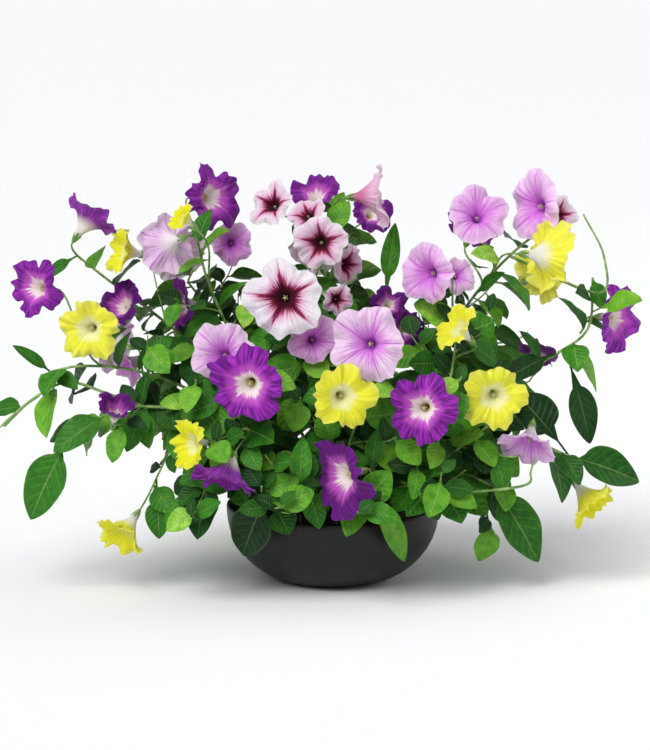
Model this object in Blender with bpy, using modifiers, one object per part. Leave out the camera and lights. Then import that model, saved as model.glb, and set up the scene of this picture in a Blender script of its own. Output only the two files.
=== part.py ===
"""Flowering hanging basket: mixed petunias growing out of a low dark bowl.

The bowl stands on its flat base, whose centre is the origin. It is filled with soil,
and the leafy stems stand in plain holes in the soil. Each stem carries its side
branches, leaves and green calyces in one solid. Each bloom is a trumpet of its own,
seated in its calyx. +X is to the right of someone who faces the basket, +Y is away
from them and +Z is up.
"""

import math

import bmesh
import bpy
from mathutils import Matrix, Vector
from mathutils.bvhtree import BVHTree

MM = 0.001  # the layout tables are in millimetres, everything else in metres
OBJECT_NAME = "flowering_hanging_basket"

# Bowl and soil
BOWL_BASE_RADIUS = 0.046
BOWL_RIM_RADIUS = 0.107
BOWL_HEIGHT = 0.076
BOWL_WALL = 0.0032
BOWL_STEPS = 24
WALL_HEIGHTS = (0.94, 0.80, 0.55, 0.30)  # of both faces, as shares of the bowl's height
FOOT_HEIGHTS = (0.13, 0.04)  # further down, of the outer face only
SOIL_TOP = BOWL_HEIGHT * WALL_HEIGHTS[1]
SOIL_CROWN = 0.007
SOIL_GAP = 0.0005  # measured along the radius, so that it is FIT_GAP across the sloping wall
CROWN_RADIUS = 0.055
RIM_SHARES = (0.75, 0.25)  # the flat of the rounded rim, as shares of the wall
HOLE_SIDES = 6
FIT_GAP = 0.0003
CLEARANCE = 0.0005
SHARP_ANGLE = math.radians(50)

# Stems
ROOT_DEPTH = 0.024
ROOT_RADIUS = 0.0021
FORK_RADIUS = 0.0016
STEM_TIP_RADIUS = 0.0012
STEM_SPANS = 8
FORK_SPANS = 6
STRAIGHT_MOUTH = 0.004  # how far a stem stands straight up out of the soil

# Branches: one leaves its stem at the best place, by a route that is tried in this order
BRANCH_RADIUS = 0.0013
PEDICEL_RADIUS = 0.0009
BRANCH_SPANS = 3
BRANCH_LEAD = 0.35
FIRST_BRANCH = 0.10
APPROACH = 0.012
ROUTE_SHIFTS = (0.0, -0.08, 0.06, -0.16, 0.12, -0.26, -0.36)
ROUTE_BENDS = (0.9, 0.5, 1.3, 0.25)
ROUTE_LIFTS = (0.0, 0.35, -0.35)
LOWEST_BRANCH = 0.08
OWN_BLOOM_REACH = 0.008  # where a branch may come near the bloom that it carries

# Blooms. The rings of a corolla run from its root to its throat. Their heights are
# shares of the tube's length, and their widths shares of the limb's radius.
COROLLA_HEIGHTS = (0.0, 0.50, 0.86, 1.0, 1.0, 0.86, 0.42)
COROLLA_WIDTHS = (0.0, 0.125, 0.36, 1.0, 1.0, 0.36, 0.0)
LIMB_THICKNESS = 0.0009
LOBES = 5
NOTCH = 0.15
RUFFLE = 0.10
NOTCH_DIP = 0.6
LARGE_BLOOM = 0.066
CALYX_SEAT = 0.00035
SEPAL_LENGTH = 0.0085
SEPAL_SPREAD = 0.0046
CUP_RADIUS = 0.0026
CUP_DEPTH = 0.0012
CALYX_ROOT = 0.0026
FUSED_SINK = 0.0014

# Leaves. The rings of a blade are at these shares of its length, with these widths.
BLADE_RINGS = (0.36, 0.70, 1.0)
BLADE_WIDTHS = (1.0, 0.76, 0.0)
PETIOLE_WIDTH = 0.0022
PETIOLE_RANGE = (0.05, 0.30)
ROOT_MARGIN = 0.0015
LEAF_THICKNESS = 0.0011
LEAF_FOLD = 0.28
LEAF_DROOP = 0.22
LEAF_WIDTH = 0.56
LEAF_LIGHT = Vector((0.0, -0.75, 0.65))
STALK_LENGTH = 0.005

# Leaves by rule: spacing and length on the stems and on the long branches, the
# stretch of each that bears them, and the ways to stand that are tried in this order
STEM_LEAF = (0.036, 0.048)
BRANCH_LEAF = (0.054, 0.036)
MAIN_STRETCH = (0.30, 0.97)
FORK_STRETCH = (0.22, 0.97)
BRANCH_STRETCH = (0.25, 0.75)
LONG_BRANCH = 0.045
LEAF_SIZES = (1.0, 0.8, 0.62)
LEAF_TURNS = (0.0, 0.7, -0.7, 1.4, -1.4, 2.1, -2.1, 3.1)
LEAF_ADVANCE = 0.5
LIGHT_RISE = 0.7
LIGHT_TURN = 0.6
STEEPEST_LEAF = 0.9
SIZE_SWING = 0.22
GOLDEN_ANGLE = math.radians(137.5)

# The layout below is given as it is seen from the front, from this far above level.
VIEW_TILT = math.radians(10.5)

# Leafy stems. The root is its place on the soil (across, depth); each path then runs
# through (across, rise, depth). The first path starts at the root, and each later one
# is a fork, which starts at the place of that number along the first path, from 0 to 1.
STEMS = {
    "left": {
        "root": (-52, -14),
        "paths": [
            (None, [(-78, 112, -26), (-130, 160, -44), (-192, 172, -58), (-240, 156, -68), (-264, 134, -72)]),
            (0.30, [(-128, 178, -20), (-190, 206, -34), (-246, 212, -40), (-282, 206, -34)]),
            (0.62, [(-222, 184, -40), (-262, 196, -44), (-296, 180, -46), (-326, 152, -46)]),
        ],
    },
    "upper_left": {
        "root": (-40, 24),
        "paths": [
            (None, [(-72, 150, 34), (-122, 216, 36), (-176, 262, 28), (-222, 296, 12), (-250, 318, 2)]),
            (0.22, [(-84, 200, 8), (-106, 252, 0), (-126, 300, 6), (-136, 340, 16)]),
        ],
    },
    "front_left": {
        "root": (-34, -44),
        "paths": [
            (None, [(-52, 100, -72), (-74, 138, -92), (-94, 166, -92), (-112, 184, -78)]),
            (0.25, [(-78, 92, -92), (-112, 98, -98), (-140, 88, -96)]),
            (0.15, [(-56, 82, -96), (-70, 80, -112)]),
        ],
    },
    "front": {
        "root": (2, -52),
        "paths": [
            (None, [(6, 96, -82), (14, 130, -98), (26, 166, -100), (36, 198, -92)]),
            (0.18, [(-18, 92, -100), (-34, 92, -124)]),
            (0.18, [(24, 88, -104), (42, 84, -124)]),
        ],
    },
    "front_right": {
        "root": (38, -40),
        "paths": [
            (None, [(62, 104, -66), (92, 146, -84), (112, 190, -80), (120, 232, -64), (118, 268, -44)]),
            (0.25, [(88, 92, -92), (112, 86, -106)]),
            (0.30, [(112, 124, -78), (142, 146, -84), (160, 160, -80)]),
        ],
    },
    "crown": {
        "root": (-6, -4),
        "paths": [
            (None, [(-14, 150, -22), (-26, 214, -46), (-28, 262, -44), (-18, 298, -26)]),
            (0.20, [(2, 170, 16), (-4, 240, 32), (-8, 300, 38), (-2, 340, 36)]),
        ],
    },
    "right": {
        "root": (52, -8),
        "paths": [
            (None, [(92, 110, -28), (142, 134, -48), (192, 138, -56), (236, 122, -46)]),
            (0.25, [(118, 156, -12), (172, 196, -18), (222, 224, -16), (254, 250, -12), (258, 300, -8)]),
            (0.35, [(134, 104, -62), (160, 92, -66)]),
        ],
    },
    "upper_right": {
        "root": (28, 26),
        "paths": [
            (None, [(66, 160, 26), (110, 236, 24), (152, 296, 22), (190, 334, 26), (214, 348, 34)]),
        ],
    },
    "back": {
        "root": (-4, 50),
        "paths": [
            (None, [(-30, 140, 84), (-66, 196, 100), (-110, 250, 92), (-146, 296, 72)]),
            (0.18, [(-70, 120, 102), (-130, 150, 108), (-190, 196, 94)]),
            (0.18, [(10, 150, 96), (22, 220, 98), (6, 286, 84)]),
            (0.14, [(40, 120, 100), (92, 146, 104), (134, 200, 88), (160, 262, 74)]),
            (0.14, [(96, 104, 92), (158, 116, 84)]),
        ],
    },
}

# Blooms: across, rise and depth of the middle of the limb, its diameter, where it
# faces (degrees to the right of the viewer, degrees above level), the tube's length,
# and the stem that carries it. A bloom marked True is part of that stem's own solid.
BLOOMS = {
    "violet_1": (-238, 364, 6, 64, 118, 50, 34, "upper_left", False),
    "violet_2": (-297, 289, -24, 60, -36, 8, 32, "left", False),
    "violet_3": (-213, 275, -20, 54, -48, 30, 30, "upper_left", False),
    "violet_4": (-155, 272, 4, 52, -68, 0, 32, "upper_left", False),
    "violet_5": (-117, 380, 16, 70, 48, 6, 34, "upper_left", False),
    "violet_6": (-18, 388, 52, 52, -12, 58, 30, "crown", False),
    "violet_7": (41, 368, 72, 46, 24, 28, 26, "crown", True),
    "violet_8": (-83, 192, -150, 76, -12, -4, 34, "front_left", False),
    "violet_9": (85, 170, -152, 70, -14, 4, 34, "front_right", False),
    "violet_10": (4, 104, -146, 80, -54, -6, 34, "front", False),
    "violet_11": (-106, 96, -142, 62, -34, -56, 34, "front_left", False),
    "violet_12": (-211, 176, -96, 38, 20, 60, 32, "left", False),
    "violet_13": (288, 260, 6, 70, 50, 4, 32, "right", False),
    "violet_14": (207, 226, 34, 42, 160, 48, 26, "upper_right", False),
    "violet_15": (74, 249, -44, 40, 30, 14, 26, "front_right", False),
    "violet_16": (56, 274, -10, 38, 10, 24, 24, "crown", True),
    "yellow_1": (-241, 248, -64, 62, -16, 4, 32, "left", False),
    "yellow_2": (-214, 327, -24, 48, -62, 14, 34, "upper_left", False),
    "yellow_3": (-150, 359, -84, 30, -60, 40, 24, "upper_left", True),
    "yellow_4": (10, 181, -168, 64, 14, 0, 32, "front", False),
    "yellow_5": (157, 181, -118, 65, 4, -4, 32, "front_right", False),
    "yellow_6": (117, 252, -104, 50, -62, 42, 30, "front_right", False),
    "yellow_7": (216, 320, -34, 74, 120, -8, 38, "upper_right", False),
    "yellow_8": (-143, 135, -124, 50, -54, 0, 30, "front_left", False),
    "yellow_9": (-212, 40, -74, 54, -48, -44, 36, "left", False),
    "yellow_10": (262, 70, -44, 54, 54, -42, 38, "right", False),
    "lavender_1": (-166, 332, -34, 64, -140, -18, 34, "upper_left", False),
    "lavender_2": (143, 363, -6, 62, 0, 34, 30, "upper_right", False),
    "lavender_3": (197, 370, 4, 76, -50, 4, 32, "upper_right", False),
    "lavender_4": (90, 301, -74, 62, -40, 0, 32, "front_right", False),
    "lavender_5": (33, 233, -138, 76, -14, 10, 34, "front", False),
    "lavender_6": (-108, 223, -104, 66, -12, 14, 32, "front_left", False),
    "lavender_7": (-19, 237, -98, 50, 10, 8, 28, "crown", False),
    "lavender_8": (190, 128, -86, 58, -18, -48, 34, "right", False),
    "lavender_9": (-209, 210, 6, 46, -60, -26, 30, "upper_left", False),
    "lavender_10": (-101, 334, 44, 44, 10, 0, 26, "upper_left", False),
    "lavender_11": (124, 302, -18, 38, 20, 20, 24, "upper_right", False),
    "white_1": (-48, 277, -112, 78, -6, 6, 34, "crown", False),
    "white_2": (-13, 332, -52, 54, -8, 4, 30, "crown", False),
    "white_3": (-62, 374, 4, 48, -28, 30, 28, "crown", False),
    "white_4": (50, 381, -4, 68, 88, 4, 36, "crown", False),
    "white_5": (229, 364, 52, 42, 30, 10, 26, "upper_right", False),
    "white_6": (16, 311, -22, 44, 52, -8, 26, "crown", False),
    "white_7": (5, 276, -70, 32, 20, 0, 22, "crown", True),
    "violet_17": (-95, 205, 146, 70, 200, 8, 34, "back", False),
    "violet_18": (88, 172, 152, 68, 158, 4, 34, "back", False),
    "violet_19": (143, 356, 84, 56, 160, 34, 32, "upper_right", False),
    "yellow_11": (4, 178, 160, 62, 184, -2, 32, "back", False),
    "yellow_12": (212, 306, 92, 60, 140, 10, 32, "upper_right", False),
    "yellow_13": (-100, 104, 136, 56, 205, -24, 32, "back", False),
    "lavender_12": (40, 246, 132, 70, 172, 14, 34, "back", False),
    "lavender_13": (-226, 238, 104, 62, 228, 6, 32, "back", False),
    "lavender_14": (172, 170, 122, 60, 136, -6, 32, "back", False),
    "white_8": (-12, 334, 112, 66, 178, 30, 32, "back", True),
    "white_9": (-160, 328, 92, 64, 214, 20, 32, "back", True),
    "white_10": (-52, 274, 124, 64, 190, 12, 32, "back", True),
    "white_11": (-28, 364, -30, 40, -30, 40, 24, "crown", True),
}

# Leaves placed one by one: the stem, the base and the tip, each as across, rise and
# depth, and the blade's width.
LEAVES = [
    ("left", (-266, 132, -74), (-304, 62, -84), 42),
    ("left", (-226, 170, -68), (-274, 134, -92), 32),
    ("left", (-280, 210, -40), (-254, 194, -60), 18),
    ("left", (-284, 212, -36), (-312, 234, -44), 13),
    ("left", (-196, 112, -66), (-172, 44, -74), 26),
    ("upper_left", (-262, 318, 4), (-290, 302, -2), 14),
    ("front_left", (-112, 90, -98), (-150, 62, -108), 26),
    ("front_left", (-68, 84, -108), (-94, 24, -104), 44),
    ("front_left", (-60, 96, -104), (-42, 50, -122), 30),
    ("front", (-36, 100, -124), (-30, 140, -128), 22),
    ("front", (-24, 94, -112), (-12, 54, -124), 24),
    ("front", (44, 86, -124), (78, 18, -112), 24),
    ("front", (38, 112, -108), (42, 148, -126), 18),
    ("crown", (20, 334, 14), (6, 380, 8), 20),
    ("crown", (58, 318, 10), (60, 350, 6), 15),
    ("crown", (46, 326, -18), (12, 374, -24), 24),
    ("right", (256, 300, -8), (268, 270, -18), 18),
    ("right", (250, 262, -44), (292, 284, -60), 26),
    ("right", (236, 238, -16), (242, 212, -46), 28),
    ("right", (232, 208, -20), (168, 204, -54), 26),
    ("right", (248, 164, -30), (188, 186, -50), 44),
    ("right", (250, 196, -14), (262, 134, -26), 24),
    ("right", (243, 128, -44), (309, 104, -40), 42),
    ("right", (228, 128, -50), (242, 102, -84), 24),
    ("right", (162, 94, -66), (210, 20, -74), 42),
    ("front_right", (60, 98, -112), (94, 114, -132), 16),
    ("front_right", (112, 92, -104), (126, 62, -124), 30),
    ("front_right", (84, 92, -96), (104, 64, -108), 26),
    ("front_right", (60, 92, -84), (96, 84, -112), 28),
    ("upper_right", (150, 270, 10), (160, 306, -12), 16),
]


def place(across, rise, depth):
    """A point of the layout, which is seen from VIEW_TILT above level."""
    height = (rise - depth * math.sin(VIEW_TILT)) / math.cos(VIEW_TILT)
    return Vector((across, depth, height)) * MM


def facing(turn, up):
    """The unit vector that points turn degrees to the right and up degrees above level."""
    turn = math.radians(turn)
    up = math.radians(up)
    return Vector((math.sin(turn) * math.cos(up), -math.cos(turn) * math.cos(up), math.sin(up)))


def material(name, colour, roughness):
    """A plain Principled material."""
    made = bpy.data.materials.new(name)
    made.use_nodes = True
    shader = made.node_tree.nodes["Principled BSDF"]
    shader.inputs["Base Color"].default_value = (*colour, 1.0)
    shader.inputs["Roughness"].default_value = roughness
    return made


def object_from(bm, name, collection, finish=None):
    """Puts a bmesh into a new object, and frees it."""
    mesh = bpy.data.meshes.new(name)
    bm.to_mesh(mesh)
    bm.free()
    made = bpy.data.objects.new(name, mesh)
    collection.objects.link(made)
    if finish:
        mesh.materials.append(finish)
    return made


def evaluated_mesh(obj):
    """The mesh of an object with its modifiers or its bevel worked out."""
    depsgraph = bpy.context.evaluated_depsgraph_get()
    return bpy.data.meshes.new_from_object(obj.evaluated_get(depsgraph))


# Bowl and soil


def bowl_radius(height):
    """The outer radius of the bowl: a quarter of a squashed circle above the flat base."""
    share = min(max(height / BOWL_HEIGHT, 0.0), 1.0)
    return BOWL_BASE_RADIUS + (BOWL_RIM_RADIUS - BOWL_BASE_RADIUS) * (1 - (1 - share) ** 2.3) ** 0.62


def wall_profile(shares, inset):
    """Points of the bowl's wall at shares of its height, moved in from the outer face."""
    heights = [BOWL_HEIGHT * share for share in shares]
    return [(bowl_radius(height) - inset, height) for height in heights]


def turned(name, profile, collection, finish):
    """A solid turned round the Z axis from a profile that runs down its outer side."""
    bm = bmesh.new()
    points = [bm.verts.new((radius, 0.0, height)) for radius, height in profile]
    for upper, lower in zip(points, points[1:]):
        bm.edges.new((upper, lower))
    made = object_from(bm, name, collection, finish)
    screw = made.modifiers.new("turn", "SCREW")
    screw.steps = BOWL_STEPS
    screw.render_steps = BOWL_STEPS
    screw.use_merge_vertices = True
    screw.merge_threshold = 0.00001
    return made


def build_bowl(collection, finish):
    """The bowl: a flat base, a curved wall of even thickness and a rounded rim."""
    outside = wall_profile(WALL_HEIGHTS + FOOT_HEIGHTS, 0.0)
    floor = [(0.0, BOWL_WALL), (bowl_radius(BOWL_WALL) - BOWL_WALL, BOWL_WALL)]
    inside = wall_profile(reversed(WALL_HEIGHTS), BOWL_WALL)
    rim = [(BOWL_RIM_RADIUS - BOWL_WALL * share, BOWL_HEIGHT) for share in RIM_SHARES]
    base = [(BOWL_BASE_RADIUS, 0.0), (0.0, 0.0)]
    return turned("bowl", floor + inside + rim + outside + base, collection, finish)


def build_soil(collection, finish, roots, cutters):
    """The soil: it fills the bowl, and has a plain hole for each stem."""
    side = wall_profile(WALL_HEIGHTS[1:], BOWL_WALL + SOIL_GAP)
    floor = BOWL_WALL + FIT_GAP
    foot = [(bowl_radius(BOWL_WALL) - BOWL_WALL - SOIL_GAP, floor), (0.0, floor)]
    crown = [(0.0, SOIL_TOP + SOIL_CROWN), (CROWN_RADIUS, SOIL_TOP + SOIL_CROWN * 0.7)]
    soil = turned("potting_soil", crown + side + foot, collection, finish)
    for name, (across, depth) in roots.items():
        bpy.ops.mesh.primitive_cylinder_add(
            vertices=HOLE_SIDES,
            radius=(ROOT_RADIUS + FIT_GAP) / math.cos(math.pi / HOLE_SIDES),
            depth=ROOT_DEPTH * 2,
            location=(across * MM, depth * MM, SOIL_TOP + FIT_GAP),
        )
        hole = bpy.context.object
        hole.name = "hole_" + name
        hole.hide_render = True
        hole.display_type = "WIRE"
        for home in list(hole.users_collection):
            home.objects.unlink(hole)
        cutters.objects.link(hole)
    cut = soil.modifiers.new("stem holes", "BOOLEAN")
    cut.operation = "DIFFERENCE"
    cut.operand_type = "COLLECTION"
    cut.collection = cutters
    cut.solver = "EXACT"
    return soil


# Paths


def smooth_path(points, spans):
    """Points along one smooth curve (Catmull-Rom) that passes through the given ones."""
    ends = [2 * points[0] - points[1], *points, 2 * points[-1] - points[-2]]
    path = []
    for step in range(spans + 1):
        place_along = step * (len(points) - 1) / spans
        first = min(int(place_along), len(points) - 2)
        t = place_along - first
        a, b, c, d = ends[first : first + 4]
        bend = (2 * a - 5 * b + 4 * c - d) * t * t + (3 * b - a - 3 * c + d) * t ** 3
        path.append(b + 0.5 * ((c - a) * t + bend))
    return path


def arch(start, start_pull, end, end_pull, spans):
    """Points along the arch that leaves start by one pull and reaches end by the other."""
    path = []
    for step in range(spans + 1):
        t = step / spans
        leave = (1 + 2 * t) * (1 - t) ** 2 * start + t * (1 - t) ** 2 * start_pull
        arrive = t * t * (3 - 2 * t) * end + t * t * (t - 1) * end_pull
        path.append(leave + arrive)
    return path


def along(path, share):
    """The point and the direction at a share of a path's points."""
    position = share * (len(path) - 1)
    first = min(int(position), len(path) - 2)
    step = path[first + 1] - path[first]
    return path[first] + step * (position - first), step.normalized()


def tube(name, path, start_radius, end_radius, collection):
    """A tapered tube along a path, made from a bevelled curve and closed at both ends."""
    data = bpy.data.curves.new(name, "CURVE")
    data.dimensions = "3D"
    data.bevel_depth = 1.0
    data.bevel_resolution = 0
    data.use_fill_caps = True
    spline = data.splines.new("POLY")
    spline.points.add(len(path) - 1)
    for index, (point, position) in enumerate(zip(spline.points, path)):
        point.co = (*position, 1.0)
        point.radius = start_radius + (end_radius - start_radius) * index / (len(path) - 1)
    curve = bpy.data.objects.new(name + "_curve", data)
    collection.objects.link(curve)
    mesh = evaluated_mesh(curve)
    bpy.data.objects.remove(curve)
    bm = bmesh.new()
    bm.from_mesh(mesh)
    bpy.data.meshes.remove(mesh)
    bmesh.ops.remove_doubles(bm, verts=bm.verts, dist=0.000001)
    bmesh.ops.recalc_face_normals(bm, faces=bm.faces)
    return object_from(bm, name, collection)


# Blooms


def bloom_frame(number, centre, direction, length):
    """The place of a bloom: its root is the origin, and it opens along its own Z axis."""
    turn = direction.to_track_quat("Z", "Y").to_matrix().to_4x4()
    roll = Matrix.Rotation(number * GOLDEN_ANGLE, 4, "Z")
    return Matrix.Translation(centre - direction * length) @ turn @ roll


def ring_of(vert, rings):
    """The ring of a vertex of a unit ball, from 0 at its lower pole."""
    return round(rings * (1 - math.acos(max(-1.0, min(1.0, vert.co.z))) / math.pi))


def corolla(radius, length, per_lobe, number):
    """A petunia's corolla: a slender tube that flares into a wavy limb with five lobes.

    A ball is bent by formula. Its rings become, from pole to pole, the tube, the back
    of the throat, the back and the front of the edge, and the front of the throat.
    """
    segments = LOBES * per_lobe
    rings = len(COROLLA_HEIGHTS) - 1
    bm = bmesh.new()
    bmesh.ops.create_uvsphere(bm, u_segments=segments, v_segments=rings, radius=1.0)
    stations = {}
    for vert in bm.verts:
        angle = math.atan2(vert.co.y, vert.co.x)
        segment = round(segments * (0.25 - angle / math.tau)) % segments
        stations[vert] = (ring_of(vert, rings), segment, angle)
    for vert, (ring, segment, angle) in stations.items():
        spread = COROLLA_WIDTHS[ring] * radius
        height = COROLLA_HEIGHTS[ring] * length
        if ring in (3, 4):
            notch = segment % per_lobe == 0
            spread *= 1 - NOTCH if notch else 1.0
            wave = math.sin(3 * angle + number) + math.sin(7 * angle + 2 * number)
            height += RUFFLE * radius * (0.5 * wave - (NOTCH_DIP if notch else 0.0))
        if ring in (4, 5):
            height += LIMB_THICKNESS
        vert.co = (spread * math.cos(angle), spread * math.sin(angle), height)
    inner_of = {(2, 3): 2, (3, 4): 3, (4, 5): 5, (1, 2): 1}
    for face in [face for face in bm.faces if len(face.verts) == 4]:
        rings = tuple(sorted({stations[vert][0] for vert in face.verts}))
        spans = {stations[vert][1] for vert in face.verts}
        first = min(spans) if max(spans) - min(spans) == 1 else max(spans)
        inner = inner_of[rings]
        start = next(vert for vert in face.verts if stations[vert][:2] == (inner, first))
        end = next(vert for vert in face.verts if stations[vert][0] != inner and stations[vert][1] != first)
        bmesh.utils.face_split(face, start, end)
    return bm


def branch(path, radius, frame):
    """A bloom's stalk and its calyx: a three-sided tube that opens to five sepals.

    The calyx's rim has ten points, by turns the tip of a sepal and the dip between two.
    Its outer side is a loft from the tube's last ring, and its inner side a shallow cup.
    """
    bm = bmesh.new()
    rings = []
    side = (path[1] - path[0]).orthogonal().normalized()
    for index, point in enumerate(path):
        last = index == len(path) - 1
        ahead = frame.col[2].xyz if last else path[index + 1] - path[max(index - 1, 0)]
        side = (side - ahead * side.dot(ahead) / ahead.length_squared).normalized()
        across = ahead.normalized().cross(side)
        reach = radius + (PEDICEL_RADIUS - radius) * index / (len(path) - 1)
        ring = []
        for corner in range(3):
            turn = math.tau * corner / 3
            ring.append(bm.verts.new(point + (side * math.cos(turn) + across * math.sin(turn)) * reach))
        rings.append(ring)
    bm.faces.new(reversed(rings[0]))
    for lower, upper in zip(rings, rings[1:]):
        for corner in range(3):
            after = (corner + 1) % 3
            bm.faces.new((lower[corner], lower[after], upper[after], upper[corner]))
    flat = frame.inverted()
    rim = []
    near = []
    for point in range(10):
        turn = math.tau * point / 10
        spread, height = (SEPAL_SPREAD, SEPAL_LENGTH) if point % 2 == 0 else (CUP_RADIUS, CUP_DEPTH)
        away = Vector((math.cos(turn), math.sin(turn), 0.0))
        rim.append(bm.verts.new(frame @ (away * spread + Vector((0.0, 0.0, height)))))
        near.append(max(rings[-1], key=lambda corner: (flat @ corner.co).dot(away)))
    floor = bm.verts.new(frame @ Vector((0.0, 0.0, -CALYX_SEAT)))
    for point in range(10):
        after = (point + 1) % 10
        bm.faces.new((floor, rim[point], rim[after]))
        bm.faces.new((near[point], rim[after], rim[point]))
        if near[point] is not near[after]:
            bm.faces.new((near[point], near[after], rim[after]))
    bmesh.ops.triangulate(bm, faces=bm.faces)
    return bm


# Leaves


def leaf_frame(base, tip, up):
    """The place of a leaf: +Y runs from base to tip, and +Z is the blade's upper face."""
    forward = (tip - base).normalized()
    side = forward.cross(up).normalized()
    normal = side.cross(forward)
    turn = Matrix((side, forward, normal)).transposed().to_4x4()
    return Matrix.Translation(base) @ turn


def leaf(length, width, petiole=None, root=0.0, grow=0.0):
    """An ovate blade, from a ball with four sides that is bent by formula.

    Each ring holds the two edges, and the midrib's upper and lower side. The outline is
    widest near two fifths of the length. The blade is folded up along its midrib and
    arches down towards its tip. A petiole, given as a share of the length, adds a slim
    ring where the blade starts. The first pole is the root, on the leaf's own Y axis.
    """
    shares = (0.0, *BLADE_RINGS)
    widths = (0.0, *BLADE_WIDTHS)
    if petiole:
        shares = (0.0, petiole, *(petiole + (1 - petiole) * share for share in BLADE_RINGS))
        widths = (0.0, PETIOLE_WIDTH / width, *BLADE_WIDTHS)
    rings = len(shares) - 1
    bm = bmesh.new()
    bmesh.ops.create_uvsphere(bm, u_segments=4, v_segments=rings, radius=1.0)
    stations = {}
    for vert in bm.verts:
        side = 0 if abs(vert.co.x) < 0.01 else math.copysign(1, vert.co.x)
        face = 0 if abs(vert.co.y) < 0.01 else -math.copysign(1, vert.co.y)
        stations[vert] = (ring_of(vert, rings), side, face)
    for vert, (ring, side, face) in stations.items():
        share = shares[ring]
        across = side * (width / 2 * widths[ring] + grow)
        lift = LEAF_FOLD * abs(across) - LEAF_DROOP * length * share * share
        vert.co = (across, share * length, lift + face * (LEAF_THICKNESS / 2 + grow))
        if ring == 0:
            vert.co = (0.0, root, 0.0)
    for face in [face for face in bm.faces if len(face.verts) == 4]:
        ring = min(stations[vert][0] for vert in face.verts)
        edge = next(vert for vert in face.verts if stations[vert][0] == ring and stations[vert][1] != 0)
        rib = next(vert for vert in face.verts if stations[vert][0] != ring and stations[vert][1] == 0)
        bmesh.utils.face_split(face, edge, rib)
    return bm


# What is already there, so that nothing crosses another solid


class Taken:
    """Search trees of the pieces that are placed, each with the solid it belongs to."""

    def __init__(self):
        self.pieces = []

    def add(self, owner, bm):
        self.pieces.append((owner, *searchable(bm)))

    def near(self, low, high, owner, own=False):
        """The pieces near a box: of all other solids, or only of the owner's own."""
        for other, tree, other_low, other_high in self.pieces:
            meet = all(low[axis] <= other_high[axis] and other_low[axis] <= high[axis] for axis in range(3))
            if meet and (other == owner) == own:
                yield other, tree

    def crossing(self, owner, bm, own=False):
        """The first solid that a piece of the owner would cross."""
        tree, low, high = searchable(bm)
        for other, other_tree in self.near(low, high, owner, own):
            if tree.overlap(other_tree):
                return other
        return None

    def crossing_path(self, owner, path, radius, bloom=None):
        """The first solid that a tube of the owner along a path would come too near to.

        The last stretch of a branch runs up to the root of the bloom that it carries.
        """
        reach = radius + CLEARANCE
        pad = Vector((reach, reach, reach))
        samples = path_samples(path)
        free = [point for point in samples if (point - path[-1]).length > OWN_BLOOM_REACH]
        low, high = box_of(samples)
        for other, tree in self.near(low - pad, high + pad, owner):
            tested = free if other == bloom else samples
            if any(tree.find_nearest(point, reach)[0] for point in tested):
                return other
        return None


def box_of(points):
    """The lower and the upper corner of the box round some points."""
    low = Vector(min(point[axis] for point in points) for axis in range(3))
    high = Vector(max(point[axis] for point in points) for axis in range(3))
    return low, high


def searchable(bm):
    """A search tree of a bmesh, and the corners of its box."""
    return BVHTree.FromBMesh(bm), *box_of([vert.co for vert in bm.verts])


def require_clear(piece, hit):
    """Stops at a piece of the layout that would cross another solid."""
    if hit:
        raise ValueError(f"{piece} meets {hit}")


def path_samples(path):
    """Points along the straight runs of a path, a stem's thickness apart."""
    samples = []
    for start, end in zip(path, path[1:]):
        count = max(1, math.ceil((end - start).length / STEM_TIP_RADIUS))
        samples.extend(start.lerp(end, index / count) for index in range(count))
    samples.append(path[-1])
    return samples


def bmesh_of(mesh):
    """A bmesh of a mesh."""
    bm = bmesh.new()
    bm.from_mesh(mesh)
    return bm


# Placing


def place_blooms(parts, trays, finishes, taken):
    """Each bloom in its place of the layout. A fused one is sunk into its calyx."""
    frames = {}
    for number, (name, row) in enumerate(BLOOMS.items()):
        across, rise, depth, diameter, turn, up, length, stem, fused = row
        frame = bloom_frame(number, place(across, rise, depth), facing(turn, up), length * MM)
        per_lobe = 3 if diameter * MM >= LARGE_BLOOM and abs(turn) < 90 else 2
        flower = corolla(diameter / 2 * MM, length * MM, per_lobe, number)
        if fused:
            bmesh.ops.translate(flower, verts=flower.verts, vec=(0.0, 0.0, -FUSED_SINK))
        flower.transform(frame)
        owner = stem if fused else name
        require_clear(name, taken.crossing(owner, flower))
        taken.add(owner, flower)
        colour = name.split("_")[0]
        object_from(flower, name, trays[stem] if fused else parts, finishes[colour])
        frames[name] = (frame, facing(turn, up), stem)
    return frames


def place_stems(trays, taken):
    """The main path of each leafy stem, from its hole in the soil, and its forks."""
    paths = {}
    for name, stem in STEMS.items():
        across, depth = stem["root"]
        foot = Vector((across * MM, depth * MM, SOIL_TOP + FIT_GAP * 2 - ROOT_DEPTH))
        mouth = Vector((across * MM, depth * MM, SOIL_TOP + SOIL_CROWN + STRAIGHT_MOUTH))
        paths[name] = []
        for number, (start, points) in enumerate(stem["paths"]):
            route = [place(*point) for point in points]
            if start is None:
                path = [foot] + smooth_path([mouth] + route, STEM_SPANS)
                radius = ROOT_RADIUS
            else:
                origin, _ = along(paths[name][0], start)
                path = smooth_path([origin] + route, FORK_SPANS)
                radius = FORK_RADIUS
            require_clear(f"path {number} of {name}", taken.crossing_path(name, path[1:], radius))
            made = tube(f"{name}_path_{number}", path, radius, STEM_TIP_RADIUS, trays[name])
            bm = bmesh_of(made.data)
            taken.add(name, bm)
            bm.free()
            paths[name].append(path)
    return paths


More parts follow.
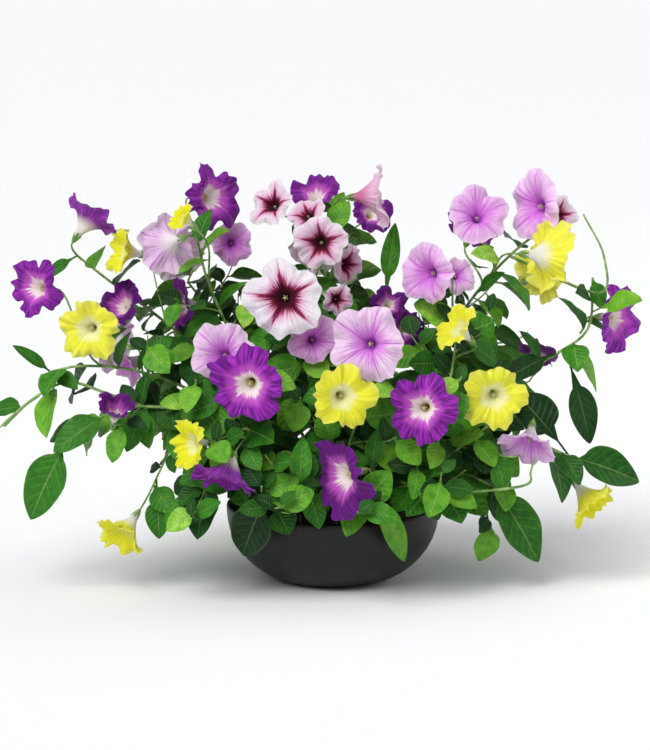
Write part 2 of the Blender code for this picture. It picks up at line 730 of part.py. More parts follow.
def nearest_share(paths, target):
    """The path, and the share along it, from which a branch to the target best leaves.

    The nearest place is best, but a branch would rather lead on the way its stem grows.
    """
    best = None
    first = round(FIRST_BRANCH * 40)
    for path in paths:
        for step in range(first, 41):
            point, direction = along(path, step / 40)
            gap = target - point
            cost = gap.length - BRANCH_LEAD * gap.dot(direction)
            if best is None or cost < best[0]:
                best = (cost, path, step / 40)
    return best[1], best[2]


def branch_routes(path, share, end, direction):
    """Routes for a branch: it leaves the stem forwards, and reaches the bloom from behind."""
    for shift in ROUTE_SHIFTS:
        start, heading = along(path, min(max(share + shift, LOWEST_BRANCH), 1.0))
        gap = (end - start).length
        spans = BRANCH_SPANS if gap > LONG_BRANCH else BRANCH_SPANS - 1
        for bend in ROUTE_BENDS:
            for lift in ROUTE_LIFTS:
                lean = (heading + Vector((0.0, 0.0, lift))).normalized()
                yield arch(start, lean * gap * bend, end, direction * gap * bend, spans)


def place_branches(frames, paths, trays, taken):
    """The branch from a stem to each bloom, along the first route that is clear."""
    branches = {name: [] for name in paths}
    for name, (frame, direction, stem) in frames.items():
        end = frame @ Vector((0.0, 0.0, -CALYX_ROOT))
        path, share = nearest_share(paths[stem], end - direction * APPROACH)
        for route in branch_routes(path, share, end, direction):
            hit = taken.crossing_path(stem, route, BRANCH_RADIUS, name)
            if hit is None:
                break
        require_clear("the branch of " + name, hit)
        stalk = branch(route, BRANCH_RADIUS, frame)
        require_clear("the calyx of " + name, taken.crossing(stem, stalk))
        taken.add(stem, stalk)
        object_from(stalk, name + "_branch", trays[stem])
        branches[stem].append(route)
    return branches


def nearest_point(paths, target):
    """The point of some paths that is nearest to a target, a little inside their ends."""
    best = None
    for path in paths:
        for start, end in zip(path, path[1:]):
            run = end - start
            margin = ROOT_MARGIN / run.length
            share = min(max((target - start).dot(run) / run.length_squared, margin), 1 - margin)
            point = start + run * share
            if best is None or (point - target).length < (best - target).length:
                best = point
    return best


def place_leaves(paths, branches, trays, taken):
    """The leaves that are placed one by one, and then those that follow the stems."""
    for number, (stem, base, tip, width) in enumerate(LEAVES):
        start = nearest_point(paths[stem] + branches[stem], place(*base))
        end = place(*tip)
        length = (end - start).length
        shortest, longest = PETIOLE_RANGE
        petiole = min(max((place(*base) - start).length / length, shortest), longest)
        shade = leaf_frame(start, end, LEAF_LIGHT)
        probe = leaf(length, width * MM, petiole, grow=CLEARANCE)
        probe.transform(shade)
        require_clear(f"leaf {number} of {stem}", taken.crossing(stem, probe))
        probe.free()
        blade = leaf(length, width * MM, petiole)
        blade.transform(shade)
        taken.add(stem, blade)
        object_from(blade, f"{stem}_large_leaf", trays[stem])
    for stem in paths:
        for path in paths[stem]:
            stretch = MAIN_STRETCH if path is paths[stem][0] else FORK_STRETCH
            leaves_along(stem, path, stretch, STEM_LEAF, trays, taken)
        for route in branches[stem]:
            if path_length(route) > LONG_BRANCH:
                leaves_along(stem, route, BRANCH_STRETCH, BRANCH_LEAF, trays, taken)


def path_length(path):
    """The length of a path."""
    return sum((end - start).length for start, end in zip(path, path[1:]))


def leaves_along(stem, path, stretch, kind, trays, taken):
    """Leaves by turns round a stem, a golden angle apart, where they are clear."""
    first, last = stretch
    spacing, length = kind
    count = max(1, int(path_length(path) * (last - first) / spacing))
    for number in range(count):
        base, heading = along(path, first + (last - first) * (number + 0.5) / count)
        for shade, size in leaf_choices(base, heading, number, length):
            if add_leaf(stem, shade, size, trays, taken):
                break


def leaf_choices(base, heading, number, length):
    """The ways that a leaf can stand at a place on a stem, the best first."""
    outward = Vector((base.x, base.y, 0.0)).normalized()
    light = (outward + Vector((0.0, 0.0, LIGHT_RISE))).normalized()
    side = heading.cross(Vector((0.0, 0.0, 1.0))).normalized()
    for size in LEAF_SIZES:
        for turn in LEAF_TURNS:
            away = Matrix.Rotation(number * GOLDEN_ANGLE + turn, 3, heading) @ side
            forward = away + heading * LEAF_ADVANCE
            forward = (forward - light * forward.dot(light) * LIGHT_TURN).normalized()
            if abs(forward.dot(light)) < STEEPEST_LEAF:
                swing = 1 + SIZE_SWING * math.sin(number * 2.4)
                yield leaf_frame(base, base + forward, light), length * size * swing


def add_leaf(stem, shade, length, trays, taken):
    """Adds a leaf to its stem, unless it would cross another solid or a neighbour.

    Beyond its stalk it also stays clear of its own stem's solid.
    """
    width = length * LEAF_WIDTH
    probe = leaf(length, width, grow=CLEARANCE)
    probe.transform(shade)
    beyond = leaf(length, width, root=STALK_LENGTH, grow=CLEARANCE)
    beyond.transform(shade)
    hit = taken.crossing(stem, probe) or taken.crossing(stem, beyond, own=True)
    probe.free()
    beyond.free()
    if hit:
        return False
    blade = leaf(length, width)
    blade.transform(shade)
    taken.add(stem, blade)
    object_from(blade, stem + "_leaf", trays[stem])
    return True


def join(stem, tray, parts, finish):
    """Joins a stem's tubes with its branches, calyces and leaves into one solid."""
    main_tube = tray.objects[stem + "_path_0"]
    tray.objects.unlink(main_tube)
    parts.objects.link(main_tube)
    union = main_tube.modifiers.new("join", "BOOLEAN")
    union.operation = "UNION"
    union.operand_type = "COLLECTION"
    union.collection = tray
    union.solver = "MANIFOLD"
    mesh = evaluated_mesh(main_tube)
    mesh.materials.clear()
    mesh.materials.append(finish)
    parts.objects.link(bpy.data.objects.new(stem + "_stem", mesh))
    for piece in [main_tube, *tray.objects]:
        bpy.data.objects.remove(piece)
    bpy.data.collections.remove(tray)


def main():
    for leftover in list(bpy.data.objects):
        bpy.data.objects.remove(leftover)
    scene = bpy.context.scene
    parts = bpy.data.collections.new(OBJECT_NAME)
    cutters = bpy.data.collections.new("cutters")
    trays = {name: bpy.data.collections.new("tray_" + name) for name in STEMS}
    for collection in [parts, cutters, *trays.values()]:
        scene.collection.children.link(collection)
    finishes = {
        "bowl": material("charcoal_plastic", (0.022, 0.022, 0.024), 0.42),
        "soil": material("potting_soil", (0.045, 0.028, 0.018), 0.95),
        "green": material("leaf_green", (0.060, 0.180, 0.035), 0.55),
        "violet": material("violet_petal", (0.260, 0.020, 0.460), 0.60),
        "yellow": material("yellow_petal", (0.860, 0.790, 0.030), 0.60),
        "lavender": material("lavender_petal", (0.700, 0.380, 0.850), 0.60),
        "white": material("white_petal", (0.860, 0.750, 0.860), 0.60),
    }
    bowl = build_bowl(parts, finishes["bowl"])
    roots = {name: stem["root"] for name, stem in STEMS.items()}
    soil = build_soil(parts, finishes["soil"], roots, cutters)
    taken = Taken()
    for solid in (bowl, soil):
        bm = bmesh_of(evaluated_mesh(solid))
        taken.add(solid.name, bm)
        bm.free()
    frames = place_blooms(parts, trays, finishes, taken)
    paths = place_stems(trays, taken)
    branches = place_branches(frames, paths, trays, taken)
    place_leaves(paths, branches, trays, taken)
    for stem, tray in trays.items():
        join(stem, tray, parts, finishes["green"])
    for done in parts.objects:
        done.data.shade_smooth()
        done.data.set_sharp_from_angle(angle=SHARP_ANGLE)


main()
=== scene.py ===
# %% [markdown]
# # A flowering hanging basket
#
# Mixed petunias grow out of a low, dark bowl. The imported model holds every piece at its
# real size and place, but as plain solids with few faces. This lesson dresses them. Each
# solid is replaced by a finer surface of the same form, with the ruffles, veins and
# colours of the living plant, and nothing is moved or resized.

import math

import bpy
import numpy as np
from mathutils import Matrix, Vector
from mathutils.bvhtree import BVHTree
from mathutils.kdtree import KDTree


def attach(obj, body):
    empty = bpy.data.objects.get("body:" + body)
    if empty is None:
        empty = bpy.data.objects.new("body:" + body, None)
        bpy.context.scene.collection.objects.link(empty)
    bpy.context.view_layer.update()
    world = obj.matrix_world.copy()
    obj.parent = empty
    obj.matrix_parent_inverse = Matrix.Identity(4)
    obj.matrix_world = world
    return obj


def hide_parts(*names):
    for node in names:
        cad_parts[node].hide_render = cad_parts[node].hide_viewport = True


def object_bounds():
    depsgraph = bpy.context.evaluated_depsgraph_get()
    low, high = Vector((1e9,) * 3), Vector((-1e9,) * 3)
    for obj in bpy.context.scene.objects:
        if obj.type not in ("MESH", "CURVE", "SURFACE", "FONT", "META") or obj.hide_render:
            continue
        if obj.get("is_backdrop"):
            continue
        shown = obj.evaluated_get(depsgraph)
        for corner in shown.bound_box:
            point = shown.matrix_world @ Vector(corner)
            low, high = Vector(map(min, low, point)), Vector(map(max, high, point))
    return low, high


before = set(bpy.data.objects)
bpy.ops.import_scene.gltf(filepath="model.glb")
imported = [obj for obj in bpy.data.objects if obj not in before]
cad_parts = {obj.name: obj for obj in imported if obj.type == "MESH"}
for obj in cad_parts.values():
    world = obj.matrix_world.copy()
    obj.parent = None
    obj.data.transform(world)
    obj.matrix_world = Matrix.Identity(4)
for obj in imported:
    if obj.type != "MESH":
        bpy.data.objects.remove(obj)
cad_box = [list(corner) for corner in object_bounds()]
MM = 0.001
GOLDEN_ANGLE = math.radians(137.5)
print("the frame has", len(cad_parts), "nodes in the box", cad_box)

# %% [markdown]
# ## The camera
#
# The basket was photographed from a little above level, with a long lens, so that near
# and far blooms show at almost the same scale. The camera could be placed by eye. Here
# it is worked out: it looks at the middle of the picture from VIEW_TILT above level, and
# its lens is chosen so that the picture is VIEW_WIDTH wide where the object stands.

# %% Camera
VIEW_TILT = math.radians(10.5)
VIEW_CENTRE = (-8, 203)  # across and rise of the middle of the picture, in mm
VIEW_WIDTH = 0.650
VIEW_DISTANCE = 4.0
SENSOR_WIDTH = 36.0


def place(across, rise, depth):
    """A point of the layout, in metres: across to the right, rise up the picture, depth away.

    The rise is what the camera sees, so the height is the rise less the part of it that
    the depth brings about, both divided by the cosine of the tilt.
    """
    height = (rise - depth * math.sin(VIEW_TILT)) / math.cos(VIEW_TILT)
    return np.array((across, depth, height)) * MM


camera_data = bpy.data.cameras.new("camera")
camera_data.sensor_fit = "HORIZONTAL"
camera_data.sensor_width = SENSOR_WIDTH
camera_data.lens = SENSOR_WIDTH * VIEW_DISTANCE / VIEW_WIDTH
camera = bpy.data.objects.new("camera", camera_data)
to_camera = np.array((0.0, -math.cos(VIEW_TILT), math.sin(VIEW_TILT)))
camera.location = place(*VIEW_CENTRE, 0) + to_camera * VIEW_DISTANCE
camera.rotation_euler = (math.pi / 2 - VIEW_TILT, 0.0, 0.0)
bpy.context.scene.collection.objects.link(camera)
bpy.context.scene.camera = camera
print("a lens of", round(camera_data.lens), "mm at", VIEW_DISTANCE, "m")

# %% [markdown]
# ## Two small helpers for materials
#
# Every finish below is a graph of shader nodes. One function turns a colour as a painter
# names it, an sRGB hex value, into the linear numbers that the renderer works with.
# Another adds a node, sets its inputs and links it in one call.

# %% Colour and node helpers


def tint(code):
    """An sRGB hex colour as linear red, green, blue and a full alpha."""
    shares = np.array([int(code[start : start + 2], 16) for start in (1, 3, 5)]) / 255
    linear = np.where(shares <= 0.04045, shares / 12.92, ((shares + 0.055) / 1.055) ** 2.4)
    return (*linear.tolist(), 1.0)


def add(tree, kind, inputs=(), **settings):
    """Adds a shader node. An input that is given a socket is linked, any other is set."""
    node = tree.nodes.new("ShaderNode" + kind)
    for name, value in settings.items():
        setattr(node, name, value)
    for key, value in dict(inputs).items():
        if isinstance(value, bpy.types.NodeSocket):
            tree.links.new(value, node.inputs[key])
        else:
            node.inputs[key].default_value = value
    return node


def mix_colours(tree, factor, base, over):
    """A colour of the base, covered by the second as far as the factor says."""
    node = add(tree, "Mix", data_type="RGBA")
    for socket, value in zip((node.inputs[0], node.inputs[6], node.inputs[7]), (factor, base, over)):
        if isinstance(value, bpy.types.NodeSocket):
            tree.links.new(value, socket)
        else:
            socket.default_value = value
    return node.outputs[2]


def new_finish(name):
    """A material with an empty graph: its tree, and its output's surface socket."""
    made = bpy.data.materials.new(name)
    made.use_nodes = True
    made.node_tree.nodes.clear()
    output = add(made.node_tree, "OutputMaterial")
    return made, made.node_tree, output


# %% [markdown]
# ## Studio
#
# The picture is bright and soft. The key light, above and to the left, is as wide as a
# silk in front of a far lamp, so that it lights the white sweep evenly and its shadows
# are soft. A softbox on the right draws the pale edge on the bowl. The rest comes from
# the world, which is brightest overhead and dimmer towards the horizon, as in a studio
# with a lit ceiling, so that the inside of the plant stays dark. Standard colour is
# used, so that a petal's colour comes out as it is set.

# %% Studio
HORIZON_LIGHT = 0.12
ZENITH_LIGHT = 0.62
FLOOR_SIZE = 40.0
LIGHTS = {  # kind, place, the settings of its size, and its strength in W/m2 or W
    "key": ("SUN", (-1.0, -1.65, 2.25), {"angle": math.radians(40)}, 2.45),
    "edge": ("AREA", (2.0, 0.6, 0.8), {"size": 1.2}, 10.0),
}
AIM = Vector((0.0, 0.0, 0.20))

world = bpy.data.worlds.new("studio")
bpy.context.scene.world = world
world.use_nodes = True
backdrop = world.node_tree.nodes["Background"]
backdrop.inputs["Color"].default_value = tint("#FBFCFD")
sky_way = add(world.node_tree, "TexCoord").outputs["Generated"]
upwards = add(world.node_tree, "SeparateXYZ", {0: sky_way}).outputs[2]
glow = add(world.node_tree, "MapRange", {0: upwards, 1: 0.0, 2: 1.0, 3: HORIZON_LIGHT, 4: ZENITH_LIGHT}).outputs[0]
world.node_tree.links.new(glow, backdrop.inputs["Strength"])
bpy.context.scene.view_settings.view_transform = "Standard"

for name, (kind, spot, extent, strength) in LIGHTS.items():
    light = bpy.data.lights.new(name, kind)
    for setting, value in extent.items():
        setattr(light, setting, value)
    light.energy = strength
    stand = bpy.data.objects.new(name, light)
    stand.location = spot
    stand.rotation_euler = (AIM - Vector(spot)).to_track_quat("-Z", "Y").to_euler()
    bpy.context.scene.collection.objects.link(stand)

paper, tree, output = new_finish("sweep_paper")
shader = add(tree, "BsdfPrincipled", {"Base Color": tint("#FAFBFC"), "Roughness": 0.9})
shader.inputs["Specular IOR Level"].default_value = 0.1
tree.links.new(shader.outputs[0], output.inputs[0])
half = FLOOR_SIZE / 2
floor_mesh = bpy.data.meshes.new("floor")
floor_mesh.from_pydata([(-half, -half, 0), (half, -half, 0), (half, half, 0), (-half, half, 0)], [], [(0, 1, 2, 3)])
floor_mesh.materials.append(paper)
floor = bpy.data.objects.new("floor", floor_mesh)
bpy.context.scene.collection.objects.link(floor)
floor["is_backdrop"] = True
print("lights:", ", ".join(LIGHTS))

# %% [markdown]
# ## Shells, trays and pieces
#
# Petals, leaves, stems, sepals, the bowl and the crumbs of soil are all the same kind of
# surface: a stack of rings that closes on a point at both ends. They could be modelled
# one by one, but as arrays they are worked out whole. A tray gathers the shells of one
# piece, along with the marks that the finish reads at each point.

# %% Shells
SHARP_ANGLE = math.radians(70)  # a thin edge, as of a leaf, mustn't be shaded as if it were round


def loft(rings, first, last, turned=None):
    """Closes a stack of rings into a shell, as points, four-sided faces and triangles.

    Each point joins the next one of its ring and the same two of the ring above. A fan
    of triangles closes the lowest ring on the first point and the highest on the last.
    A face is cut from its first corner to its third. The faces of the sides from turned
    on start one corner later: so the two skins of a leaf are cut alike and never cross.
    """
    count, sides = rings.shape[:2]
    points = np.vstack((rings.reshape(-1, 3), first, last))
    ring, side = np.meshgrid(np.arange(count - 1) * sides, np.arange(sides), indexing="ij")
    after = (side + 1) % sides
    walls = np.stack((ring + side, ring + after, ring + sides + after, ring + sides + side), axis=-1)
    if turned is not None:
        walls[:, turned:] = np.roll(walls[:, turned:], -1, axis=-1)
    side = np.arange(sides)
    after = (side + 1) % sides
    top = (count - 1) * sides
    foot = np.stack((np.full(sides, count * sides), after, side), axis=-1)
    head = np.stack((np.full(sides, count * sides + 1), top + side, top + after), axis=-1)
    return points, walls.reshape(-1, 4), np.vstack((foot, head))


def moved(points, place_matrix):
    """Points carried by a 4 x 4 matrix."""
    matrix = np.array(place_matrix)
    return points @ matrix[:3, :3].T + matrix[:3, 3]


class Tray:
    """The shells of one piece, with the marks of their points and the finish of each."""

    def __init__(self):
        self.points = []
        self.walls = []
        self.ends = []
        self.wall_slots = []
        self.end_slots = []
        self.marks = {}
        self.count = 0

    def add(self, shell, marks=(), slot=0):
        points, walls, ends = shell
        self.points.append(points)
        self.walls.append(walls + self.count)
        self.ends.append(ends + self.count)
        self.wall_slots.append(np.full(len(walls), slot))
        self.end_slots.append(np.full(len(ends), slot))
        for name, values in dict(marks).items():
            self.marks.setdefault(name, []).append((self.count, values))
        self.count += len(points)


def make_piece(name, tray, finishes, nodes):
    """Turns a tray into a smooth mesh that rides on the basket and stands for some nodes."""
    points = np.vstack(tray.points)
    walls = np.vstack(tray.walls)
    ends = np.vstack(tray.ends)
    corners = np.concatenate((walls.ravel(), ends.ravel())).astype(np.int32)
    starts = np.concatenate((np.arange(len(walls)) * 4, walls.size + np.arange(len(ends)) * 3))
    slots = np.concatenate(tray.wall_slots + tray.end_slots)
    mesh = bpy.data.meshes.new(name)
    mesh.vertices.add(len(points))
    mesh.vertices.foreach_set("co", points.astype(np.float32).ravel())
    mesh.loops.add(len(corners))
    mesh.loops.foreach_set("vertex_index", corners)
    mesh.polygons.add(len(starts))
    mesh.polygons.foreach_set("loop_start", starts.astype(np.int32))
    mesh.polygons.foreach_set("material_index", slots.astype(np.int32))
    for mark, values in tray.marks.items():
        wide = values[0][1].ndim == 2
        held = np.zeros((len(points), 3) if wide else len(points), np.float32)
        for start, part in values:
            held[start : start + len(part)] = part
        attribute = mesh.attributes.new(mark, "FLOAT_VECTOR" if wide else "FLOAT", "POINT")
        attribute.data.foreach_set("vector" if wide else "value", held.ravel())
    mesh.update(calc_edges=True)
    mesh.shade_smooth()
    mesh.set_sharp_from_angle(angle=SHARP_ANGLE)
    for finish in finishes:
        mesh.materials.append(finish)
    made = bpy.data.objects.new(name, mesh)
    bpy.context.scene.collection.objects.link(made)
    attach(made, "root")
    if nodes:
        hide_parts(*nodes)
    print(name, "has", len(walls) * 2 + len(ends), "triangles")
    return made


# %% [markdown]
# ## The layout
#
# The stems, blooms and large leaves stand where the photo shows them, as seen from the
# front. These are the same tables that the solids were made from, so every fine piece
# lands on its solid. They are short lists of places, given in millimetres. What
# follows a rule, such as the smaller leaves, is worked out further below.

# %% Layout
# Leafy stems. The root is its place on the soil (across, depth); each path then runs
# through (across, rise, depth). The first path starts at the root, and each later one
# is a fork, which starts at the place of that number along the first path, from 0 to 1.
STEMS = {
    "left": {
        "root": (-52, -14),
        "paths": [
            (None, [(-78, 112, -26), (-130, 160, -44), (-192, 172, -58), (-240, 156, -68), (-264, 134, -72)]),
            (0.30, [(-128, 178, -20), (-190, 206, -34), (-246, 212, -40), (-282, 206, -34)]),
            (0.62, [(-222, 184, -40), (-262, 196, -44), (-296, 180, -46), (-326, 152, -46)]),
        ],
    },
    "upper_left": {
        "root": (-40, 24),
        "paths": [
            (None, [(-72, 150, 34), (-122, 216, 36), (-176, 262, 28), (-222, 296, 12), (-250, 318, 2)]),
            (0.22, [(-84, 200, 8), (-106, 252, 0), (-126, 300, 6), (-136, 340, 16)]),
        ],
    },
    "front_left": {
        "root": (-34, -44),
        "paths": [
            (None, [(-52, 100, -72), (-74, 138, -92), (-94, 166, -92), (-112, 184, -78)]),
            (0.25, [(-78, 92, -92), (-112, 98, -98), (-140, 88, -96)]),
            (0.15, [(-56, 82, -96), (-70, 80, -112)]),
        ],
    },
    "front": {
        "root": (2, -52),
        "paths": [
            (None, [(6, 96, -82), (14, 130, -98), (26, 166, -100), (36, 198, -92)]),
            (0.18, [(-18, 92, -100), (-34, 92, -124)]),
            (0.18, [(24, 88, -104), (42, 84, -124)]),
        ],
    },
    "front_right": {
        "root": (38, -40),
        "paths": [
            (None, [(62, 104, -66), (92, 146, -84), (112, 190, -80), (120, 232, -64), (118, 268, -44)]),
            (0.25, [(88, 92, -92), (112, 86, -106)]),
            (0.30, [(112, 124, -78), (142, 146, -84), (160, 160, -80)]),
        ],
    },
    "crown": {
        "root": (-6, -4),
        "paths": [
            (None, [(-14, 150, -22), (-26, 214, -46), (-28, 262, -44), (-18, 298, -26)]),
            (0.20, [(2, 170, 16), (-4, 240, 32), (-8, 300, 38), (-2, 340, 36)]),
        ],
    },
    "right": {
        "root": (52, -8),
        "paths": [
            (None, [(92, 110, -28), (142, 134, -48), (192, 138, -56), (236, 122, -46)]),
            (0.25, [(118, 156, -12), (172, 196, -18), (222, 224, -16), (254, 250, -12), (258, 300, -8)]),
            (0.35, [(134, 104, -62), (160, 92, -66)]),
        ],
    },
    "upper_right": {
        "root": (28, 26),
        "paths": [
            (None, [(66, 160, 26), (110, 236, 24), (152, 296, 22), (190, 334, 26), (214, 348, 34)]),
        ],
    },
    "back": {
        "root": (-4, 50),
        "paths": [
            (None, [(-30, 140, 84), (-66, 196, 100), (-110, 250, 92), (-146, 296, 72)]),
            (0.18, [(-70, 120, 102), (-130, 150, 108), (-190, 196, 94)]),
            (0.18, [(10, 150, 96), (22, 220, 98), (6, 286, 84)]),
            (0.14, [(40, 120, 100), (92, 146, 104), (134, 200, 88), (160, 262, 74)]),
            (0.14, [(96, 104, 92), (158, 116, 84)]),
        ],
    },
}

# Blooms: across, rise and depth of the middle of the limb, its diameter, where it
# faces (degrees to the right of the viewer, degrees above level), the tube's length,
# and the stem that carries it.
BLOOMS = {
    "violet_1": (-238, 364, 6, 64, 118, 50, 34, "upper_left"),
    "violet_2": (-297, 289, -24, 60, -36, 8, 32, "left"),
    "violet_3": (-213, 275, -20, 54, -48, 30, 30, "upper_left"),
    "violet_4": (-155, 272, 4, 52, -68, 0, 32, "upper_left"),
    "violet_5": (-117, 380, 16, 70, 48, 6, 34, "upper_left"),
    "violet_6": (-18, 388, 52, 52, -12, 58, 30, "crown"),
    "violet_7": (41, 368, 72, 46, 24, 28, 26, "crown"),
    "violet_8": (-83, 192, -150, 76, -12, -4, 34, "front_left"),
    "violet_9": (85, 170, -152, 70, -14, 4, 34, "front_right"),
    "violet_10": (4, 104, -146, 80, -54, -6, 34, "front"),
    "violet_11": (-106, 96, -142, 62, -34, -56, 34, "front_left"),
    "violet_12": (-211, 176, -96, 38, 20, 60, 32, "left"),
    "violet_13": (288, 260, 6, 70, 50, 4, 32, "right"),
    "violet_14": (207, 226, 34, 42, 160, 48, 26, "upper_right"),
    "violet_15": (74, 249, -44, 40, 30, 14, 26, "front_right"),
    "violet_16": (56, 274, -10, 38, 10, 24, 24, "crown"),
    "yellow_1": (-241, 248, -64, 62, -16, 4, 32, "left"),
    "yellow_2": (-214, 327, -24, 48, -62, 14, 34, "upper_left"),
    "yellow_3": (-150, 359, -84, 30, -60, 40, 24, "upper_left"),
    "yellow_4": (10, 181, -168, 64, 14, 0, 32, "front"),
    "yellow_5": (157, 181, -118, 65, 4, -4, 32, "front_right"),
    "yellow_6": (117, 252, -104, 50, -62, 42, 30, "front_right"),
    "yellow_7": (216, 320, -34, 74, 120, -8, 38, "upper_right"),
    "yellow_8": (-143, 135, -124, 50, -54, 0, 30, "front_left"),
    "yellow_9": (-212, 40, -74, 54, -48, -44, 36, "left"),
    "yellow_10": (262, 70, -44, 54, 54, -42, 38, "right"),
    "lavender_1": (-166, 332, -34, 64, -140, -18, 34, "upper_left"),
    "lavender_2": (143, 363, -6, 62, 0, 34, 30, "upper_right"),
    "lavender_3": (197, 370, 4, 76, -50, 4, 32, "upper_right"),
    "lavender_4": (90, 301, -74, 62, -40, 0, 32, "front_right"),
    "lavender_5": (33, 233, -138, 76, -14, 10, 34, "front"),
    "lavender_6": (-108, 223, -104, 66, -12, 14, 32, "front_left"),
    "lavender_7": (-19, 237, -98, 50, 10, 8, 28, "crown"),
    "lavender_8": (190, 128, -86, 58, -18, -48, 34, "right"),
    "lavender_9": (-209, 210, 6, 46, -60, -26, 30, "upper_left"),
    "lavender_10": (-101, 334, 44, 44, 10, 0, 26, "upper_left"),
    "lavender_11": (124, 302, -18, 38, 20, 20, 24, "upper_right"),
    "white_1": (-48, 277, -112, 78, -6, 6, 34, "crown"),
    "white_2": (-13, 332, -52, 54, -8, 4, 30, "crown"),
    "white_3": (-62, 374, 4, 48, -28, 30, 28, "crown"),
    "white_4": (50, 381, -4, 68, 88, 4, 36, "crown"),
    "white_5": (229, 364, 52, 42, 30, 10, 26, "upper_right"),
    "white_6": (16, 311, -22, 44, 52, -8, 26, "crown"),
    "white_7": (5, 276, -70, 32, 20, 0, 22, "crown"),
    "violet_17": (-95, 205, 146, 70, 200, 8, 34, "back"),
    "violet_18": (88, 172, 152, 68, 158, 4, 34, "back"),
    "violet_19": (143, 356, 84, 56, 160, 34, 32, "upper_right"),
    "yellow_11": (4, 178, 160, 62, 184, -2, 32, "back"),
    "yellow_12": (212, 306, 92, 60, 140, 10, 32, "upper_right"),
    "yellow_13": (-100, 104, 136, 56, 205, -24, 32, "back"),
    "lavender_12": (40, 246, 132, 70, 172, 14, 34, "back"),
    "lavender_13": (-226, 238, 104, 62, 228, 6, 32, "back"),
    "lavender_14": (172, 170, 122, 60, 136, -6, 32, "back"),
    "white_8": (-12, 334, 112, 66, 178, 30, 32, "back"),
    "white_9": (-160, 328, 92, 64, 214, 20, 32, "back"),
    "white_10": (-52, 274, 124, 64, 190, 12, 32, "back"),
    "white_11": (-28, 364, -30, 40, -30, 40, 24, "crown"),
}

# Leaves placed one by one: the stem, the base and the tip, each as across, rise and
# depth, the blade's width, and its tone, from 0, deep blue-green, to 1, pale yellow-green.
LEAVES = [
    ("left", (-266, 132, -74), (-304, 62, -84), 42, 0.50),
    ("left", (-226, 170, -68), (-274, 134, -92), 32, 0.50),
    ("left", (-280, 210, -40), (-254, 194, -60), 18, 0.55),
    ("left", (-284, 212, -36), (-312, 234, -44), 13, 0.45),
    ("left", (-196, 112, -66), (-172, 44, -74), 26, 0.50),
    ("upper_left", (-262, 318, 4), (-290, 302, -2), 14, 0.50),
    ("front_left", (-112, 90, -98), (-150, 62, -108), 26, 0.55),
    ("front_left", (-68, 84, -108), (-94, 24, -104), 44, 0.10),
    ("front_left", (-60, 96, -104), (-42, 50, -122), 30, 0.35),
    ("front", (-36, 100, -124), (-30, 140, -128), 22, 0.60),
    ("front", (-24, 94, -112), (-12, 54, -124), 24, 0.50),
    ("front", (44, 86, -124), (78, 18, -112), 24, 0.72),
    ("front", (38, 112, -108), (42, 148, -126), 18, 0.45),
    ("crown", (20, 334, 14), (6, 380, 8), 20, 0.75),
    ("crown", (58, 318, 10), (60, 350, 6), 19, 0.60),
    ("crown", (46, 326, -18), (12, 374, -24), 24, 0.72),
    ("right", (256, 300, -8), (268, 270, -18), 18, 0.60),
    ("right", (250, 262, -44), (292, 284, -60), 26, 0.80),
    ("right", (236, 238, -16), (242, 212, -46), 28, 0.60),
    ("right", (232, 208, -20), (168, 204, -54), 26, 0.15),
    ("right", (248, 164, -30), (188, 186, -50), 44, 0.12),
    ("right", (250, 196, -14), (262, 134, -26), 29, 0.22),
    ("right", (243, 128, -44), (309, 104, -40), 42, 0.34),
    ("right", (228, 128, -50), (242, 102, -84), 24, 0.35),
    ("right", (162, 94, -66), (210, 20, -74), 42, 0.42),
    ("front_right", (60, 98, -112), (94, 114, -132), 16, 0.60),
    ("front_right", (112, 92, -104), (126, 62, -124), 30, 0.50),
    ("front_right", (84, 92, -96), (104, 64, -108), 26, 0.45),
    ("front_right", (60, 92, -84), (96, 84, -112), 28, 0.40),
    ("upper_right", (150, 270, 10), (160, 306, -12), 16, 0.50),
]

print(len(STEMS), "stems,", len(BLOOMS), "blooms and", len(LEAVES), "large leaves")

# %% [markdown]
# ## Paths and branches
#
# The solids' stems follow smooth curves through a few places each, and the branch to
# each bloom is an arch. The same curves are worked out again here, with more points. Of
# the routes that a branch could take, the solid took the first that was clear, so the
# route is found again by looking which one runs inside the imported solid.

# %% Paths
SOIL_TOP = 0.0608
SOIL_CROWN = 0.007
FIT_GAP = 0.0003
ROOT_DEPTH = 0.024
ROOT_RADIUS = 0.0021
FORK_RADIUS = 0.0016
STEM_TIP_RADIUS = 0.0012
STEM_SPANS = 8
FORK_SPANS = 6
STRAIGHT_MOUTH = 0.004
BRANCH_RADIUS = 0.0013
PEDICEL_RADIUS = 0.0009
BRANCH_SPANS = 3
BRANCH_LEAD = 0.35
FIRST_BRANCH = 0.10
APPROACH = 0.012
ROUTE_SHIFTS = (0.0, -0.08, 0.06, -0.16, 0.12, -0.26, -0.36)
ROUTE_BENDS = (0.9, 0.5, 1.3, 0.25)
ROUTE_LIFTS = (0.0, 0.35, -0.35)
LOWEST_BRANCH = 0.08
LONG_BRANCH = 0.045
CALYX_ROOT = 0.0026
FINER = 4  # fine points for each point of a solid's path


def unit(vector):
    """A vector of the same direction and length 1."""
    return vector / np.linalg.norm(vector)


def smooth_path(points, spans):
    """Points along one smooth curve (Catmull-Rom) that passes through the given ones."""
    points = np.array(points)
    ends = np.vstack((2 * points[0] - points[1], points, 2 * points[-1] - points[-2]))
    where = np.linspace(0, len(points) - 1, spans + 1)
    first = np.minimum(where.astype(int), len(points) - 2)
    t = (where - first)[:, None]
    a, b, c, d = (ends[first + step] for step in range(4))
    bend = (2 * a - 5 * b + 4 * c - d) * t * t + (3 * b - a - 3 * c + d) * t**3
    return b + 0.5 * ((c - a) * t + bend)


